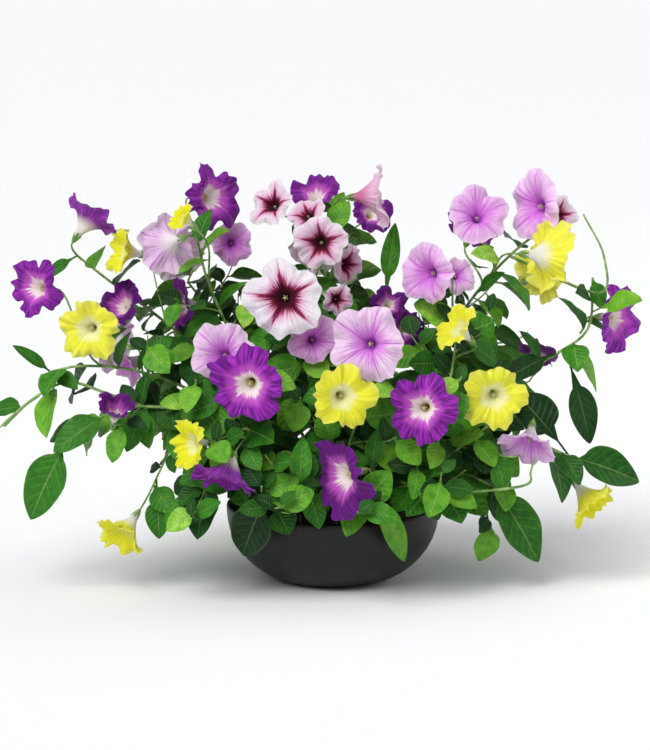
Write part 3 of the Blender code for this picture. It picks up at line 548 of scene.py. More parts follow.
def arch(start, start_pull, end, end_pull, spans):
    """Points along the arch (Hermite) that leaves start by one pull and reaches end by the other."""
    t = np.linspace(0, 1, spans + 1)[:, None]
    leave = (1 + 2 * t) * (1 - t) ** 2 * start + t * (1 - t) ** 2 * start_pull
    arrive = t * t * (3 - 2 * t) * end + t * t * (t - 1) * end_pull
    return leave + arrive


def along(path, share):
    """The point and the direction at a share of a path's points."""
    position = share * (len(path) - 1)
    first = min(int(position), len(path) - 2)
    step = path[first + 1] - path[first]
    return path[first] + step * (position - first), unit(step)


def path_length(path):
    """The length of a path."""
    return np.linalg.norm(np.diff(path, axis=0), axis=1).sum()


def facing(turn, up):
    """The unit vector that points turn degrees to the right and up degrees above level."""
    turn, up = math.radians(turn), math.radians(up)
    return np.array((math.sin(turn) * math.cos(up), -math.cos(turn) * math.cos(up), math.sin(up)))


def bloom_frame(number, centre, direction, length):
    """The place of a bloom: its root is the origin, and it opens along its own Z axis."""
    turn = Vector(direction).to_track_quat("Z", "Y").to_matrix().to_4x4()
    roll = Matrix.Rotation(number * GOLDEN_ANGLE, 4, "Z")
    return Matrix.Translation(centre - direction * length) @ turn @ roll


def nearest_share(paths, target):
    """The number of the path, and the share along it, from which a branch best leaves.

    The cost of a place is its distance, less a share of how far it lies ahead.
    """
    best = None
    for number, path in enumerate(paths):
        for step in range(round(FIRST_BRANCH * 40), 41):
            point, direction = along(path, step / 40)
            gap = target - point
            cost = np.linalg.norm(gap) - BRANCH_LEAD * gap @ direction
            if best is None or cost < best[0]:
                best = (cost, number, step / 40)
    return best[1:]


def branch_routes(path, share, end, direction):
    """The routes that a branch could take, the best first, as the arch's four parts."""
    for shift in ROUTE_SHIFTS:
        start, heading = along(path, min(max(share + shift, LOWEST_BRANCH), 1.0))
        gap = np.linalg.norm(end - start)
        spans = BRANCH_SPANS if gap > LONG_BRANCH else BRANCH_SPANS - 1
        for bend in ROUTE_BENDS:
            for lift in ROUTE_LIFTS:
                lean = unit(heading + np.array((0.0, 0.0, lift)))
                yield (start, lean * gap * bend, end, direction * gap * bend, spans)


def search_tree(*names):
    """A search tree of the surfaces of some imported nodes."""
    points = []
    faces = []
    for name in names:
        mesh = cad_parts[name].data
        faces.extend([index + len(points) for index in face.vertices] for face in mesh.polygons)
        points.extend(vertex.co.copy() for vertex in mesh.vertices)
    return BVHTree.FromPolygons(points, faces)


def off_surface(tree, points, reach):
    """How far the furthest of some points lies from a surface, up to a reach."""
    gaps = [tree.find_nearest(Vector(point), reach)[3] for point in points]
    return max(reach if gap is None else gap for gap in gaps)


def off_surface_low(tree, points, reach):
    """Whether any of some points lies nearer to a surface than a reach."""
    return any(tree.find_nearest(Vector(point), reach)[0] for point in points)


stem_trees = {name: search_tree(name + "_stem") for name in STEMS}
stem_paths = {}
fine_paths = {}
for name, stem in STEMS.items():
    across, depth = stem["root"]
    foot = np.array((across * MM, depth * MM, SOIL_TOP + FIT_GAP * 2 - ROOT_DEPTH))
    mouth = np.array((across * MM, depth * MM, SOIL_TOP + SOIL_CROWN + STRAIGHT_MOUTH))
    stem_paths[name] = []
    fine_paths[name] = []
    for start, points in stem["paths"]:
        route = [place(*point) for point in points]
        if start is None:
            stem_paths[name].append(np.vstack((foot, smooth_path([mouth] + route, STEM_SPANS))))
            fine_paths[name].append(np.vstack((foot, smooth_path([mouth] + route, STEM_SPANS * FINER))))
        else:
            origin, _ = along(stem_paths[name][0], start)
            stem_paths[name].append(smooth_path([origin] + route, FORK_SPANS))
            fine_paths[name].append(smooth_path([origin] + route, FORK_SPANS * FINER))

bloom_frames = {}
branches = {name: [] for name in STEMS}
worst = 0.0
for number, (name, row) in enumerate(BLOOMS.items()):
    across, rise, depth, diameter, turn, up, length, stem = row
    direction = facing(turn, up)
    bloom_frames[name] = bloom_frame(number, place(across, rise, depth), direction, length * MM)
    end = np.array(bloom_frames[name] @ Vector((0.0, 0.0, -CALYX_ROOT)))
    trunk, share = nearest_share(stem_paths[stem], end - direction * APPROACH)
    chosen = None
    for route in branch_routes(stem_paths[stem][trunk], share, end, direction):
        coarse = arch(*route)
        middle = np.vstack((coarse[1:-1], (coarse[1:-2] + coarse[2:-1]) / 2, (coarse[:1] + coarse[1:2]) / 2))
        gap = off_surface(stem_trees[stem], middle, 0.01)
        if chosen is None or gap < chosen[0]:
            chosen = (gap, route)
        if gap < BRANCH_RADIUS:
            break
    worst = max(worst, chosen[0])
    branches[stem].append((chosen[1], number))
print("branches found again, at most", round(worst / MM, 2), "mm off the solid's surface")

# %% [markdown]
# ## Stems as tubes
#
# A stem is a round profile carried along its path. The profile has to stay at right
# angles to the path and mustn't twist. Blender's curves could do it, but here the rings
# are worked out at once: each leans on the normal of the plane in which the path mostly
# lies, and that normal is found by a singular value decomposition.

# %% Tubes


def tube(path, first_radius, last_radius, sides=8):
    """A round stem along a path: rings across it, whose radius changes evenly.

    A point of a ring is the path's point plus the radius times (side cos + across sin),
    where side is the plane's normal made square to the path, and across is square to both.
    """
    ahead = np.gradient(path, axis=0)
    ahead /= np.linalg.norm(ahead, axis=1)[:, None]
    plane_normal = np.linalg.svd(path - path.mean(axis=0))[2][-1]
    side = plane_normal - ahead * (ahead @ plane_normal)[:, None]
    side /= np.linalg.norm(side, axis=1)[:, None]
    across = np.cross(ahead, side)
    turn = (np.arange(sides) * 2 * np.pi / sides)[None, :, None]
    radius = np.linspace(first_radius, last_radius, len(path))[:, None, None]
    rings = path[:, None] + (side[:, None] * np.cos(turn) + across[:, None] * np.sin(turn)) * radius
    return loft(rings, path[0], path[-1])


# %% [markdown]
# ## Petals
#
# A petunia's corolla is one soft, thin sheet: matt, a little velvety, and full of water,
# so light spreads inside it. Its colour isn't even. Fine streaks run from the throat to
# the edge, a main vein lies in the middle of each of the five lobes, the throat has a
# star or a stain, and the back is paler. A picture could be laid on it, but the same can
# be drawn by rule from two marks that each point carries: how far out it lies on the
# disc, and in which direction.

# %% Petal finish
LOBES = 5


def petal_finish(name, hues, stain, veins):
    """A velvety petal: a limb of streaks and veins, a stained throat and a paler back.

    Out on the disc, the share of the radius runs from 0 in the throat to 1 at the edge.
    The cosine of five times the turn is 1 at the notches and -1 at the main veins. The
    stain ends at a share that reaches further out along the main veins.
    """
    made, tree, output = new_finish(name)
    disc = add(tree, "Attribute", attribute_name="petal_disc")
    face = add(tree, "Attribute", attribute_name="petal_face")
    parts = add(tree, "SeparateXYZ", {0: disc.outputs["Vector"]})
    across, up, tone = parts.outputs
    flat = add(tree, "CombineXYZ", {0: across, 1: up})
    reach = add(tree, "VectorMath", {0: flat.outputs[0]}, operation="LENGTH").outputs["Value"]
    heading = add(tree, "VectorMath", {0: flat.outputs[0]}, operation="NORMALIZE").outputs[0]
    turn = add(tree, "Math", {0: up, 1: across}, operation="ARCTAN2").outputs[0]
    fives = add(tree, "Math", {0: turn, 1: float(LOBES), 2: -LOBES * math.pi / 2}, operation="MULTIPLY_ADD")
    lobe = add(tree, "Math", {0: fives.outputs[0]}, operation="COSINE").outputs[0]
    from_notch = add(tree, "Math", {0: lobe}, operation="ARCCOSINE").outputs[0]
    rib_share = add(tree, "Math", {0: from_notch, 1: math.pi}, operation="DIVIDE").outputs[0]
    rib = add(tree, "Math", {0: rib_share, 1: 5.0}, operation="POWER").outputs[0]
    thin_rib = add(tree, "MapRange", {0: lobe, 1: -0.985, 2: -1.0}, interpolation_type="SMOOTHSTEP").outputs[0]

    # Noise that changes fast round the disc and slowly outwards is drawn out to streaks.
    own = add(tree, "Math", {0: tone, 1: 37.0}, operation="MULTIPLY").outputs[0]
    outwards = add(tree, "Math", {0: reach, 1: 1.6, 2: own}, operation="MULTIPLY_ADD").outputs[0]
    rounded = add(tree, "VectorMath", {0: heading, "Scale": 13.0}, operation="SCALE").outputs[0]
    lift = add(tree, "CombineXYZ", {2: outwards}).outputs[0]
    streak_place = add(tree, "VectorMath", {0: rounded, 1: lift}, operation="ADD").outputs[0]
    streak = add(tree, "TexNoise", {"Vector": streak_place, "Scale": 1.0, "Detail": 3.0}).outputs[0]
    vein_place = add(tree, "VectorMath", {0: streak_place, "Scale": 0.62}, operation="SCALE").outputs[0]
    vein_noise = add(tree, "TexNoise", {"Vector": vein_place, "Scale": 1.0, "Detail": 4.0, "Roughness": 0.6}).outputs[0]
    middle = add(tree, "Math", {0: vein_noise, 1: 0.5}, operation="SUBTRACT").outputs[0]
    apart = add(tree, "Math", {0: middle}, operation="ABSOLUTE").outputs[0]
    vein = add(tree, "MapRange", {0: apart, 1: 0.035, 2: 0.0}, interpolation_type="SMOOTHSTEP").outputs[0]
    fade = add(tree, "MapRange", {0: reach, 1: 1.05, 2: 0.25, 3: 0.25}).outputs[0]
    vein_ink = add(tree, "Math", {0: vein, 1: fade}, operation="MULTIPLY").outputs[0]
    every_vein = add(tree, "Math", {0: vein_ink, 1: thin_rib}, operation="MAXIMUM").outputs[0]
    inked = add(tree, "Math", {0: every_vein, 1: veins}, operation="MULTIPLY").outputs[0]

    tone_share = add(tree, "Math", {0: tone}, operation="FRACT").outputs[0]
    limb = mix_colours(tree, tone_share, tint(hues["pale"]), tint(hues["deep"]))
    streak_share = add(tree, "MapRange", {0: streak, 1: 0.38, 2: 0.62, 4: hues["streaks"]}).outputs[0]
    limb = mix_colours(tree, streak_share, limb, tint(hues["streak"]))
    limb = mix_colours(tree, inked, limb, tint(hues["vein"]))
    edge = add(tree, "MapRange", {0: reach, 1: 0.80, 2: 1.0, 4: hues["edges"]}, interpolation_type="SMOOTHSTEP")
    limb = mix_colours(tree, edge.outputs[0], limb, tint(hues["edge"]))

    colour = limb
    for layer in stain:
        ragged = add(tree, "Math", {0: streak, 1: layer["ragged"], 2: layer["end"]}, operation="MULTIPLY_ADD").outputs[0]
        stain_end = add(tree, "Math", {0: rib, 1: layer["rays"], 2: ragged}, operation="MULTIPLY_ADD").outputs[0]
        beyond = add(tree, "Math", {0: reach, 1: stain_end}, operation="SUBTRACT").outputs[0]
        cover = add(tree, "MapRange", {0: beyond, 1: layer["soft"], 2: 0.0, 4: layer["strength"]})
        cover.interpolation_type = "SMOOTHSTEP"
        colour = mix_colours(tree, cover.outputs[0], colour, tint(layer["colour"]))

    tube_end = add(tree, "MapRange", {0: reach, 1: 0.16, 2: 0.48}, interpolation_type="SMOOTHSTEP").outputs[0]
    pale_limb = mix_colours(tree, hues["back_share"], limb, tint(hues["back"]))
    back_limb = mix_colours(tree, inked, pale_limb, tint(hues["vein"]))
    back = mix_colours(tree, tube_end, tint(hues["tube"]), back_limb)
    colour = mix_colours(tree, face.outputs["Fac"], colour, back)

    grain = add(tree, "TexNoise", {"Vector": disc.outputs["Vector"], "Scale": 60.0, "Detail": 2.0}).outputs[0]
    relief = add(tree, "Math", {0: streak, 1: 1.6, 2: grain}, operation="MULTIPLY_ADD").outputs[0]
    sunk = add(tree, "Math", {0: every_vein, 1: -0.7, 2: relief}, operation="MULTIPLY_ADD").outputs[0]
    bump = add(tree, "Bump", {"Strength": 0.55, "Distance": 0.0006, "Height": sunk}).outputs[0]
    shader = add(tree, "BsdfPrincipled", {"Base Color": colour, "Roughness": 0.60, "Normal": bump})
    shader.inputs["Specular IOR Level"].default_value = 0.16
    shader.inputs["Sheen Weight"].default_value = 0.05
    shader.inputs["Subsurface Weight"].default_value = 0.50
    shader.inputs["Subsurface Scale"].default_value = 0.0020
    shader.inputs["Subsurface Radius"].default_value = (1.0, 0.9, 1.0)
    tree.links.new(shader.outputs[0], output.inputs[0])
    return made


# %% [markdown]
# Each colour of petunia is the same petal with its own hues. The stain is a list of
# layers from the outside in: how far out it ends, how much further along the main veins,
# how ragged and how soft its end is, and how strongly it covers.

# %% The four petal colours


def layer(colour, end, rays, soft, ragged=0.0, strength=1.0):
    """One layer of a throat's stain."""
    return {"colour": colour, "end": end, "rays": rays, "soft": soft, "ragged": ragged, "strength": strength}


petals = {
    "violet": petal_finish(
        "violet_petal",
        {"pale": "#C438DC", "deep": "#3A0044", "streak": "#54046F", "streaks": 0.90, "vein": "#30003E",
         "edge": "#520A80", "edges": 0.45, "back": "#A05CBC", "back_share": 0.18, "tube": "#F4EADF"},
        [layer("#DE6BD6", 0.22, 0.14, 0.26, 0.30, 0.60), layer("#F6E6E2", 0.07, 0.10, 0.12, 0.38, 0.97),
         layer("#C9B768", 0.10, 0.02, 0.07), layer("#6B5A2C", 0.05, 0.0, 0.05)],
        0.60,
    ),
    "yellow": petal_finish(
        "yellow_petal",
        {"pale": "#F6F35A", "deep": "#EEE904", "streak": "#E2DA08", "streaks": 0.50, "vein": "#D2CA1C",
         "edge": "#F5F26C", "edges": 0.35, "back": "#F2EE58", "back_share": 0.35, "tube": "#F6F3E6"},
        [layer("#F3F0BE", 0.14, 0.10, 0.20, 0.30, 0.80), layer("#D9DC96", 0.10, 0.02, 0.10, 0.0, 0.5),
         layer("#8F9440", 0.03, 0.0, 0.05)],
        0.40,
    ),
    "lavender": petal_finish(
        "lavender_petal",
        {"pale": "#F9DDF6", "deep": "#E084E0", "streak": "#DC96E0", "streaks": 0.50, "vein": "#B458C4",
         "edge": "#F8DCF5", "edges": 0.45, "back": "#EDCBEC", "back_share": 0.50, "tube": "#F3E6EA"},
        [layer("#D164DC", 0.08, 0.16, 0.38, 0.34, 0.70), layer("#A936C0", 0.02, 0.09, 0.13, 0.20, 0.70),
         layer("#8F4CA0", 0.02, 0.0, 0.05)],
        0.80,
    ),
    "white": petal_finish(
        "white_petal",
        {"pale": "#F5F0F7", "deep": "#E79CC6", "streak": "#E9D2E8", "streaks": 0.45, "vein": "#D08FBE",
         "edge": "#F6F1F8", "edges": 0.6, "back": "#EDBFD8", "back_share": 0.5, "tube": "#D0759F"},
        [layer("#DF82B4", 0.16, 0.38, 0.34, 0.40, 0.70), layer("#8A0F42", 0.03, 0.36, 0.14, 0.58, 0.97),
         layer("#45001C", 0.12, 0.18, 0.14, 0.20, 1.0)],
        0.75,
    ),
}
print("petal finishes:", ", ".join(petals))

# %% [markdown]
# ## The shape of a bloom
#
# A petunia is a slender trumpet that flares into a flat, wavy limb. Five petals have
# grown together in it, with a notch where two meet and a sunken vein down the middle of
# each. It could be sculpted, but fifty-seven of them have to follow their solids, so the
# shape is a formula on a grid: turns round the axis, and shares of the radius that run
# out along the back, over the edge and in again along the front.

# %% Corolla
RUFFLE = 0.10
NOTCH_DIP = 0.6
SWAY_ORDERS = np.arange(1, 8)[:, None]
FUSED_SINK = 0.0014
PETAL_THICKNESS = 0.0005
TRUMPET = smooth_path([(0.04, 0.0), (0.085, 0.28), (0.16, 0.57), (0.36, 0.86), (0.68, 0.98), (1.0, 1.0)], 80)
FUNNEL = smooth_path([(0.04, 0.0), (0.09, 0.20), (0.20, 0.45), (0.42, 0.72), (0.72, 0.92), (1.0, 1.0)], 80)
BACK_SHARES = (0.04, 0.055, 0.085, 0.115, 0.16, 0.24, 0.36, 0.50, 0.64, 0.77, 0.88, 0.95, 1.0)
FRONT_SHARES = (1.0, 0.96, 0.89, 0.79, 0.68, 0.56, 0.44, 0.34, 0.25, 0.18, 0.12, 0.088)
THROAT_DEPTH = 0.27
BLOOM_SHAPES = {  # depth and half width of the notches, height of the fine waves
    "violet": (0.18, 0.15, 0.034),
    "yellow": (0.15, 0.16, 0.046),
    "lavender": (0.09, 0.18, 0.022),
    "white": (0.11, 0.16, 0.026),
}
DEEP_NOTCHES = {"violet_2": 0.26, "violet_5": 0.28, "violet_3": 0.26}
FUNNELS = {  # how far a bloom is still a funnel, from 0, open flat, to 1
    "violet_1": 1.0, "violet_3": 0.8, "violet_4": 0.6, "violet_6": 0.4, "violet_10": 0.4, "violet_11": 1.8,
    "violet_12": 1.5, "violet_13": 0.6, "yellow_2": 1.2, "yellow_3": 1.0, "yellow_6": 1.0, "yellow_7": 0.7,
    "yellow_8": 0.9, "yellow_9": 1.5, "yellow_10": 1.6, "lavender_1": 0.5, "lavender_3": 0.4,
    "lavender_8": 1.4, "lavender_9": 0.8, "white_4": 1.3, "white_11": 0.8,
}


def ease(low, high, values):
    """A smooth step from 0 at low to 1 at high."""
    share = np.clip((values - low) / (high - low), 0, 1)
    return share * share * (3 - 2 * share)


def sway(turn, chance):
    """A curve round the disc: seven sine waves of chance phase, lower for higher orders."""
    phases = chance.uniform(0, 2 * np.pi, SWAY_ORDERS.shape)
    return (np.sin(SWAY_ORDERS * turn + phases) * chance.uniform(0.5, 1.0, phases.shape) / SWAY_ORDERS**0.5).sum(axis=0)


def corolla(radius, length, number, shape, funnel, sides):
    """A petunia as a shell, and how far out each of its points lies on the disc.

    Radius: a share of the bloom's, less a notch between two petals, exp(-(gap / width)^2),
    which grows towards the edge. Height: a curve between the open trumpet and the funnel,
    plus the slow waves sin(3 turn) and sin(7 turn), the sway of each bloom's own, fine
    waves near the edge, pleats, a groove along each main vein and a fold at each notch.
    The front stands off the back by the petal's thickness.
    """
    chance = np.random.default_rng(number)
    curve = TRUMPET[:, 1] + funnel * (np.interp(TRUMPET[:, 0], FUNNEL[:, 0], FUNNEL[:, 1]) - TRUMPET[:, 1])
    depth, width, fine = shape
    turn = np.arange(sides) * 2 * np.pi / sides
    share = np.array(BACK_SHARES + FRONT_SHARES)[:, None]
    front = (np.arange(len(share)) >= len(BACK_SHARES))[:, None]
    apart = 2 * np.pi / LOBES
    notch_gap = np.abs((turn - np.pi / 2 + apart / 2) % apart - apart / 2)
    rib_gap = apart / 2 - notch_gap

    spread = share * radius
    spread = spread * (1 - ease(0.40, 1.0, share) * (depth * np.exp(-((notch_gap / width) ** 2))))
    spread = spread * (1 - 0.025 * ease(0.5, 1.0, share) * (1 + np.cos(LOBES * (turn - np.pi / 2))))
    spread = spread * (1 + 0.6 * fine * share**4 * (np.sin(13 * turn + 5 * number) + np.sin(19 * turn + number)))
    spread = spread * (1 + 0.060 * ease(0.3, 1.0, share) * sway(turn, chance))

    height = np.interp(share, TRUMPET[:, 0], curve) * length
    slow = 0.5 * (np.sin(3 * turn + number) + np.sin(7 * turn + 2 * number))
    slow = slow - NOTCH_DIP * np.exp(-((notch_gap / 0.25) ** 2))
    quick = np.sin(11 * turn + 2 * number) + np.sin(17 * turn + 3 * number) + 0.6 * np.sin(21 * turn + 1.3 * number)
    height = height + radius * ease(0.35, 1.0, share) * RUFFLE * slow
    height = height + radius * 0.095 * ease(0.25, 0.9, share) * sway(turn, chance)
    height = height + radius * fine * share**4 * quick * (1 + 0.4 * sway(turn, chance))
    height = height - radius * (0.07 + 0.06 * sway(turn, chance)) * ease(0.66, 1.0, share) ** 2
    height = height - radius * 0.024 * np.exp(-((rib_gap / 0.08) ** 2)) * ease(0.15, 0.5, share)
    fold = np.exp(-((notch_gap / 0.08) ** 2)) * ease(0.25, 0.6, share) * (1 - ease(0.80, 1.0, share))
    height = height + radius * 0.030 * fold
    pleats = np.sin(20 * turn + number) + 0.6 * np.sin(27 * turn + 1.9 * number)
    height = height + radius * 0.011 * pleats * 4 * share * (1 - share) * ease(0.2, 0.45, share)

    rise, run = np.gradient(curve * length), np.gradient(TRUMPET[:, 0] * radius)
    slope = np.interp(share, TRUMPET[:, 0], np.arctan2(rise, run))
    wall = PETAL_THICKNESS * front * (1 - 0.5 * share**6)
    spread = spread - wall * np.sin(slope)
    height = height + wall * np.cos(slope)
    rings = np.stack((spread * np.cos(turn), spread * np.sin(turn), height), axis=-1)
    shell = loft(rings, (0, 0, 0), (0, 0, THROAT_DEPTH * length))

    disc = np.stack((share * np.cos(turn), share * np.sin(turn)), axis=-1).reshape(-1, 2)
    disc = np.vstack((disc, (0.001, 0.0), (0.001, 0.0)))
    back = np.append(np.repeat(1.0 - front, sides), (1.0, 0.0))
    return shell, disc, back


# %% [markdown]
# Every bloom goes to its place of the layout. All blooms of one colour are one piece,
# because they share one finish. A tone says how deep the colour of each bloom is: most
# follow a rule, and those that stand out in the picture have their own.

# %% Blooms
FUSED = ("violet_7", "violet_16", "yellow_3", "white_7", "white_8", "white_9", "white_10", "white_11")
TONES = {
    "violet_1": 0.30, "violet_2": 0.48, "violet_3": 0.95, "violet_4": 0.62, "violet_5": 0.52, "violet_6": 0.60,
    "violet_7": 0.75, "violet_8": 0.22, "violet_9": 0.34, "violet_10": 0.80, "violet_11": 0.45, "violet_12": 0.85,
    "violet_13": 0.25, "violet_14": 0.95, "violet_15": 0.85, "violet_16": 0.90, "yellow_1": 0.30,
    "yellow_2": 0.75, "yellow_3": 0.90, "yellow_4": 0.55, "yellow_5": 0.40, "yellow_6": 0.60, "yellow_7": 0.60,
    "yellow_8": 0.85, "yellow_9": 0.70, "yellow_10": 0.80, "lavender_1": 0.30, "lavender_2": 0.50,
    "lavender_3": 0.45, "lavender_4": 0.55, "lavender_5": 0.10, "lavender_6": 0.25, "lavender_7": 0.60,
    "lavender_8": 0.40, "lavender_9": 0.65, "lavender_10": 0.70, "white_1": 0.05, "white_2": 0.45,
    "white_3": 0.35, "white_4": 0.80, "white_6": 0.75, "white_7": 0.60, "white_11": 0.65,
}
COLOUR_NODES = {colour: [] for colour in petals}
bloom_trays = {colour: Tray() for colour in petals}
for number, (name, row) in enumerate(BLOOMS.items()):
    colour = name.split("_")[0]
    radius, length = row[3] / 2 * MM, row[6] * MM
    shape = (DEEP_NOTCHES.get(name, BLOOM_SHAPES[colour][0]), *BLOOM_SHAPES[colour][1:])
    sides = 120 if radius > 0.023 else 90
    shell, disc, back = corolla(radius, length, number, shape, FUNNELS.get(name, 0.15), sides)
    sunk = FUSED_SINK if name in FUSED else 0.0
    seat = bloom_frames[name] @ Matrix.Translation((0.0, 0.0, -sunk))
    tone = TONES.get(name, 0.15 + 0.6 * (number * 0.618 % 1))
    marks = {"petal_disc": np.column_stack((disc, np.full(len(disc), tone))), "petal_face": back}
    bloom_trays[colour].add((moved(shell[0], seat), *shell[1:]), marks)
    COLOUR_NODES[colour].append(row[7] + "_stem" if name in FUSED else name)
for colour, tray in bloom_trays.items():
    nodes = sorted(set(COLOUR_NODES[colour]))
    make_piece(colour + "_blooms", tray, [petals[colour]], nodes)

# %% [markdown]
# Deep in each throat stand a pale style with its round, sticky stigma and five anthers
# with cream pollen. They are tiny, so each is a short stack of rings.

# %% Pistils and anthers


def bead(centre, wide, tall, sides=6, rings=4):
    """A small egg: rings of width sin(turn) and height -cos(turn), closed by its poles."""
    fall = (np.arange(rings) + 1) * np.pi / (rings + 1)
    turn = np.arange(sides) * 2 * np.pi / sides
    spread = np.sin(fall)[:, None] * wide
    height = np.broadcast_to(-np.cos(fall)[:, None] * tall, (rings, sides))
    points = np.stack((spread * np.cos(turn), spread * np.sin(turn), height), axis=-1)
    return loft(points + centre, centre - (0, 0, tall), centre + (0, 0, tall))


pollen, tree, output = new_finish("sticky_stigma_and_pollen")
spot = add(tree, "TexCoord").outputs["Object"]
dust = add(tree, "TexNoise", {"Vector": spot, "Scale": 2500.0, "Detail": 2.0}).outputs[0]
shade = add(tree, "ValToRGB", {0: dust})
shade.color_ramp.elements[0].color = tint("#8FA04A")
shade.color_ramp.elements[1].color = tint("#F0E8B0")
bump = add(tree, "Bump", {"Strength": 0.5, "Distance": 0.0002, "Height": dust}).outputs[0]
shader = add(tree, "BsdfPrincipled", {"Base Color": shade.outputs[0], "Roughness": 0.5, "Normal": bump})
tree.links.new(shader.outputs[0], output.inputs[0])

throat_tray = Tray()
for name, row in BLOOMS.items():
    size = row[3] / 76
    length = row[6] * MM
    style = tube(np.array([(0, 0, length * share) for share in (0.20, 0.40, 0.66)]), 0.0005 * size, 0.0005 * size, 5)
    knob = bead(np.array((0.0, 0.0, length * 0.67)), 0.0013 * size, 0.0009 * size)
    shells = [style, knob]
    for anther in range(5):
        turn = anther * 2 * math.pi / 5
        where = np.array((0.0021 * size * math.cos(turn), 0.0021 * size * math.sin(turn), length * 0.60))
        shells.append(bead(where, 0.0008 * size, 0.0013 * size, 5, 3))
    for points, walls, ends in shells:
        throat_tray.add((moved(points, bloom_frames[name]), walls, ends))
make_piece("pistils_and_anthers", throat_tray, [pollen], [])

# %% [markdown]
# ## Leaves
#
# A petunia's leaf is soft and oval with a short point. Its midrib is a pale line, the
# side veins curve forwards from it in pairs, and the blade is slightly quilted between
# them. Tiny sticky hairs give it a dull sheen. The tones run from yellow-green in young
# leaves to a deep blue-green in old ones, and the underside is paler. Leaves placed by
# rule also get a lighter tone the higher they stand: painted light from above.

# %% Leaf finish
LEAF_TONES = ((0.0, "#041F0A"), (0.30, "#134710"), (0.60, "#357D18"), (0.85, "#76B42E"), (1.0, "#BADB66"))
VEIN_PAIRS = 7.0

leaf_blade, tree, output = new_finish("hairy_leaf_blade")
where = add(tree, "Attribute", attribute_name="leaf_place").outputs["Vector"]
under = add(tree, "Attribute", attribute_name="leaf_under").outputs["Fac"]
side, share, tone = add(tree, "SeparateXYZ", {0: where}).outputs
side = add(tree, "Math", {0: side}, operation="ABSOLUTE").outputs[0]
spot = add(tree, "TexCoord").outputs["Object"]
mottle = add(tree, "TexNoise", {"Vector": spot, "Scale": 130.0, "Detail": 3.0}).outputs[0]
mottled = add(tree, "Math", {0: mottle, 1: 0.36, 2: tone}, operation="MULTIPLY_ADD").outputs[0]
levelled = add(tree, "Math", {0: mottled, 1: 0.18}, operation="SUBTRACT").outputs[0]
greens = add(tree, "ValToRGB", {0: levelled})
ramp = greens.color_ramp
for (position, code), element in zip(LEAF_TONES, [ramp.elements[0], *[ramp.elements.new(at) for at, _ in LEAF_TONES[1:-1]], ramp.elements[-1]]):
    element.position = position
    element.color = tint(code)
forward = add(tree, "Math", {0: side, 1: -1.9}, operation="MULTIPLY").outputs[0]
pairs = add(tree, "Math", {0: share, 1: VEIN_PAIRS, 2: forward}, operation="MULTIPLY_ADD").outputs[0]
phase = add(tree, "Math", {0: pairs}, operation="FRACT").outputs[0]
offset = add(tree, "Math", {0: phase, 1: 0.5}, operation="SUBTRACT").outputs[0]
crest = add(tree, "Math", {0: offset}, operation="ABSOLUTE").outputs[0]
side_vein = add(tree, "MapRange", {0: crest, 1: 0.41, 2: 0.5}, interpolation_type="SMOOTHSTEP").outputs[0]
vein_end = add(tree, "MapRange", {0: side, 1: 0.98, 2: 0.6}).outputs[0]
side_vein = add(tree, "Math", {0: side_vein, 1: vein_end}, operation="MULTIPLY").outputs[0]
midrib = add(tree, "MapRange", {0: side, 1: 0.060, 2: 0.012}, interpolation_type="SMOOTHSTEP").outputs[0]
young = add(tree, "MapRange", {0: tone, 1: 0.0, 2: 0.6, 3: 0.35, 4: 1.0}).outputs[0]
vein_share = add(tree, "Math", {0: side_vein, 1: young}, operation="MULTIPLY").outputs[0]
vein_share = add(tree, "Math", {0: vein_share, 1: 0.22}, operation="MULTIPLY").outputs[0]
colour = mix_colours(tree, vein_share, greens.outputs[0], tint("#8DB45C"))
rib_share = add(tree, "Math", {0: midrib, 1: young}, operation="MULTIPLY").outputs[0]
rib_share = add(tree, "Math", {0: rib_share, 1: 0.38}, operation="MULTIPLY").outputs[0]
colour = mix_colours(tree, rib_share, colour, tint("#A9C878"))
margin = add(tree, "MapRange", {0: side, 1: 0.90, 2: 1.0, 4: 0.20}).outputs[0]
colour = mix_colours(tree, margin, colour, tint("#86AA52"))
under_share = add(tree, "Math", {0: under, 1: 0.45}, operation="MULTIPLY").outputs[0]
colour = mix_colours(tree, under_share, colour, tint("#93B374"))
rise = add(tree, "Math", {0: crest, 1: crest}, operation="MULTIPLY").outputs[0]
quilt = add(tree, "Math", {0: rise, 1: -3.2, 2: mottle}, operation="MULTIPLY_ADD").outputs[0]
sunk = add(tree, "Math", {0: midrib, 1: -0.9, 2: quilt}, operation="MULTIPLY_ADD").outputs[0]
bump = add(tree, "Bump", {"Strength": 0.7, "Distance": 0.0008, "Height": sunk}).outputs[0]
shader = add(tree, "BsdfPrincipled", {"Base Color": colour, "Roughness": 0.48, "Normal": bump})
shader.inputs["Specular IOR Level"].default_value = 0.22
tree.links.new(shader.outputs[0], output.inputs[0])

# %% [markdown]
# Stems, stalks and sepals are the same green tissue as the leaves, but paler and more
# yellow, and the hairs on them are denser.

# %% Stem finish
stem_skin, tree, output = new_finish("hairy_green_stem")
spot = add(tree, "TexCoord").outputs["Object"]
patches = add(tree, "TexNoise", {"Vector": spot, "Scale": 90.0, "Detail": 4.0}).outputs[0]
greens = add(tree, "ValToRGB", {0: patches})
greens.color_ramp.elements[0].position = 0.35
greens.color_ramp.elements[0].color = tint("#568638")
greens.color_ramp.elements[1].position = 0.65
greens.color_ramp.elements[1].color = tint("#A3C176")
hairs = add(tree, "TexNoise", {"Vector": spot, "Scale": 1800.0, "Detail": 1.0}).outputs[0]
bump = add(tree, "Bump", {"Strength": 0.4, "Distance": 0.0002, "Height": hairs}).outputs[0]
shader = add(tree, "BsdfPrincipled", {"Base Color": greens.outputs[0], "Roughness": 0.52, "Normal": bump})
shader.inputs["Specular IOR Level"].default_value = 0.25
tree.links.new(shader.outputs[0], output.inputs[0])
print("leaf and stem finishes are ready")

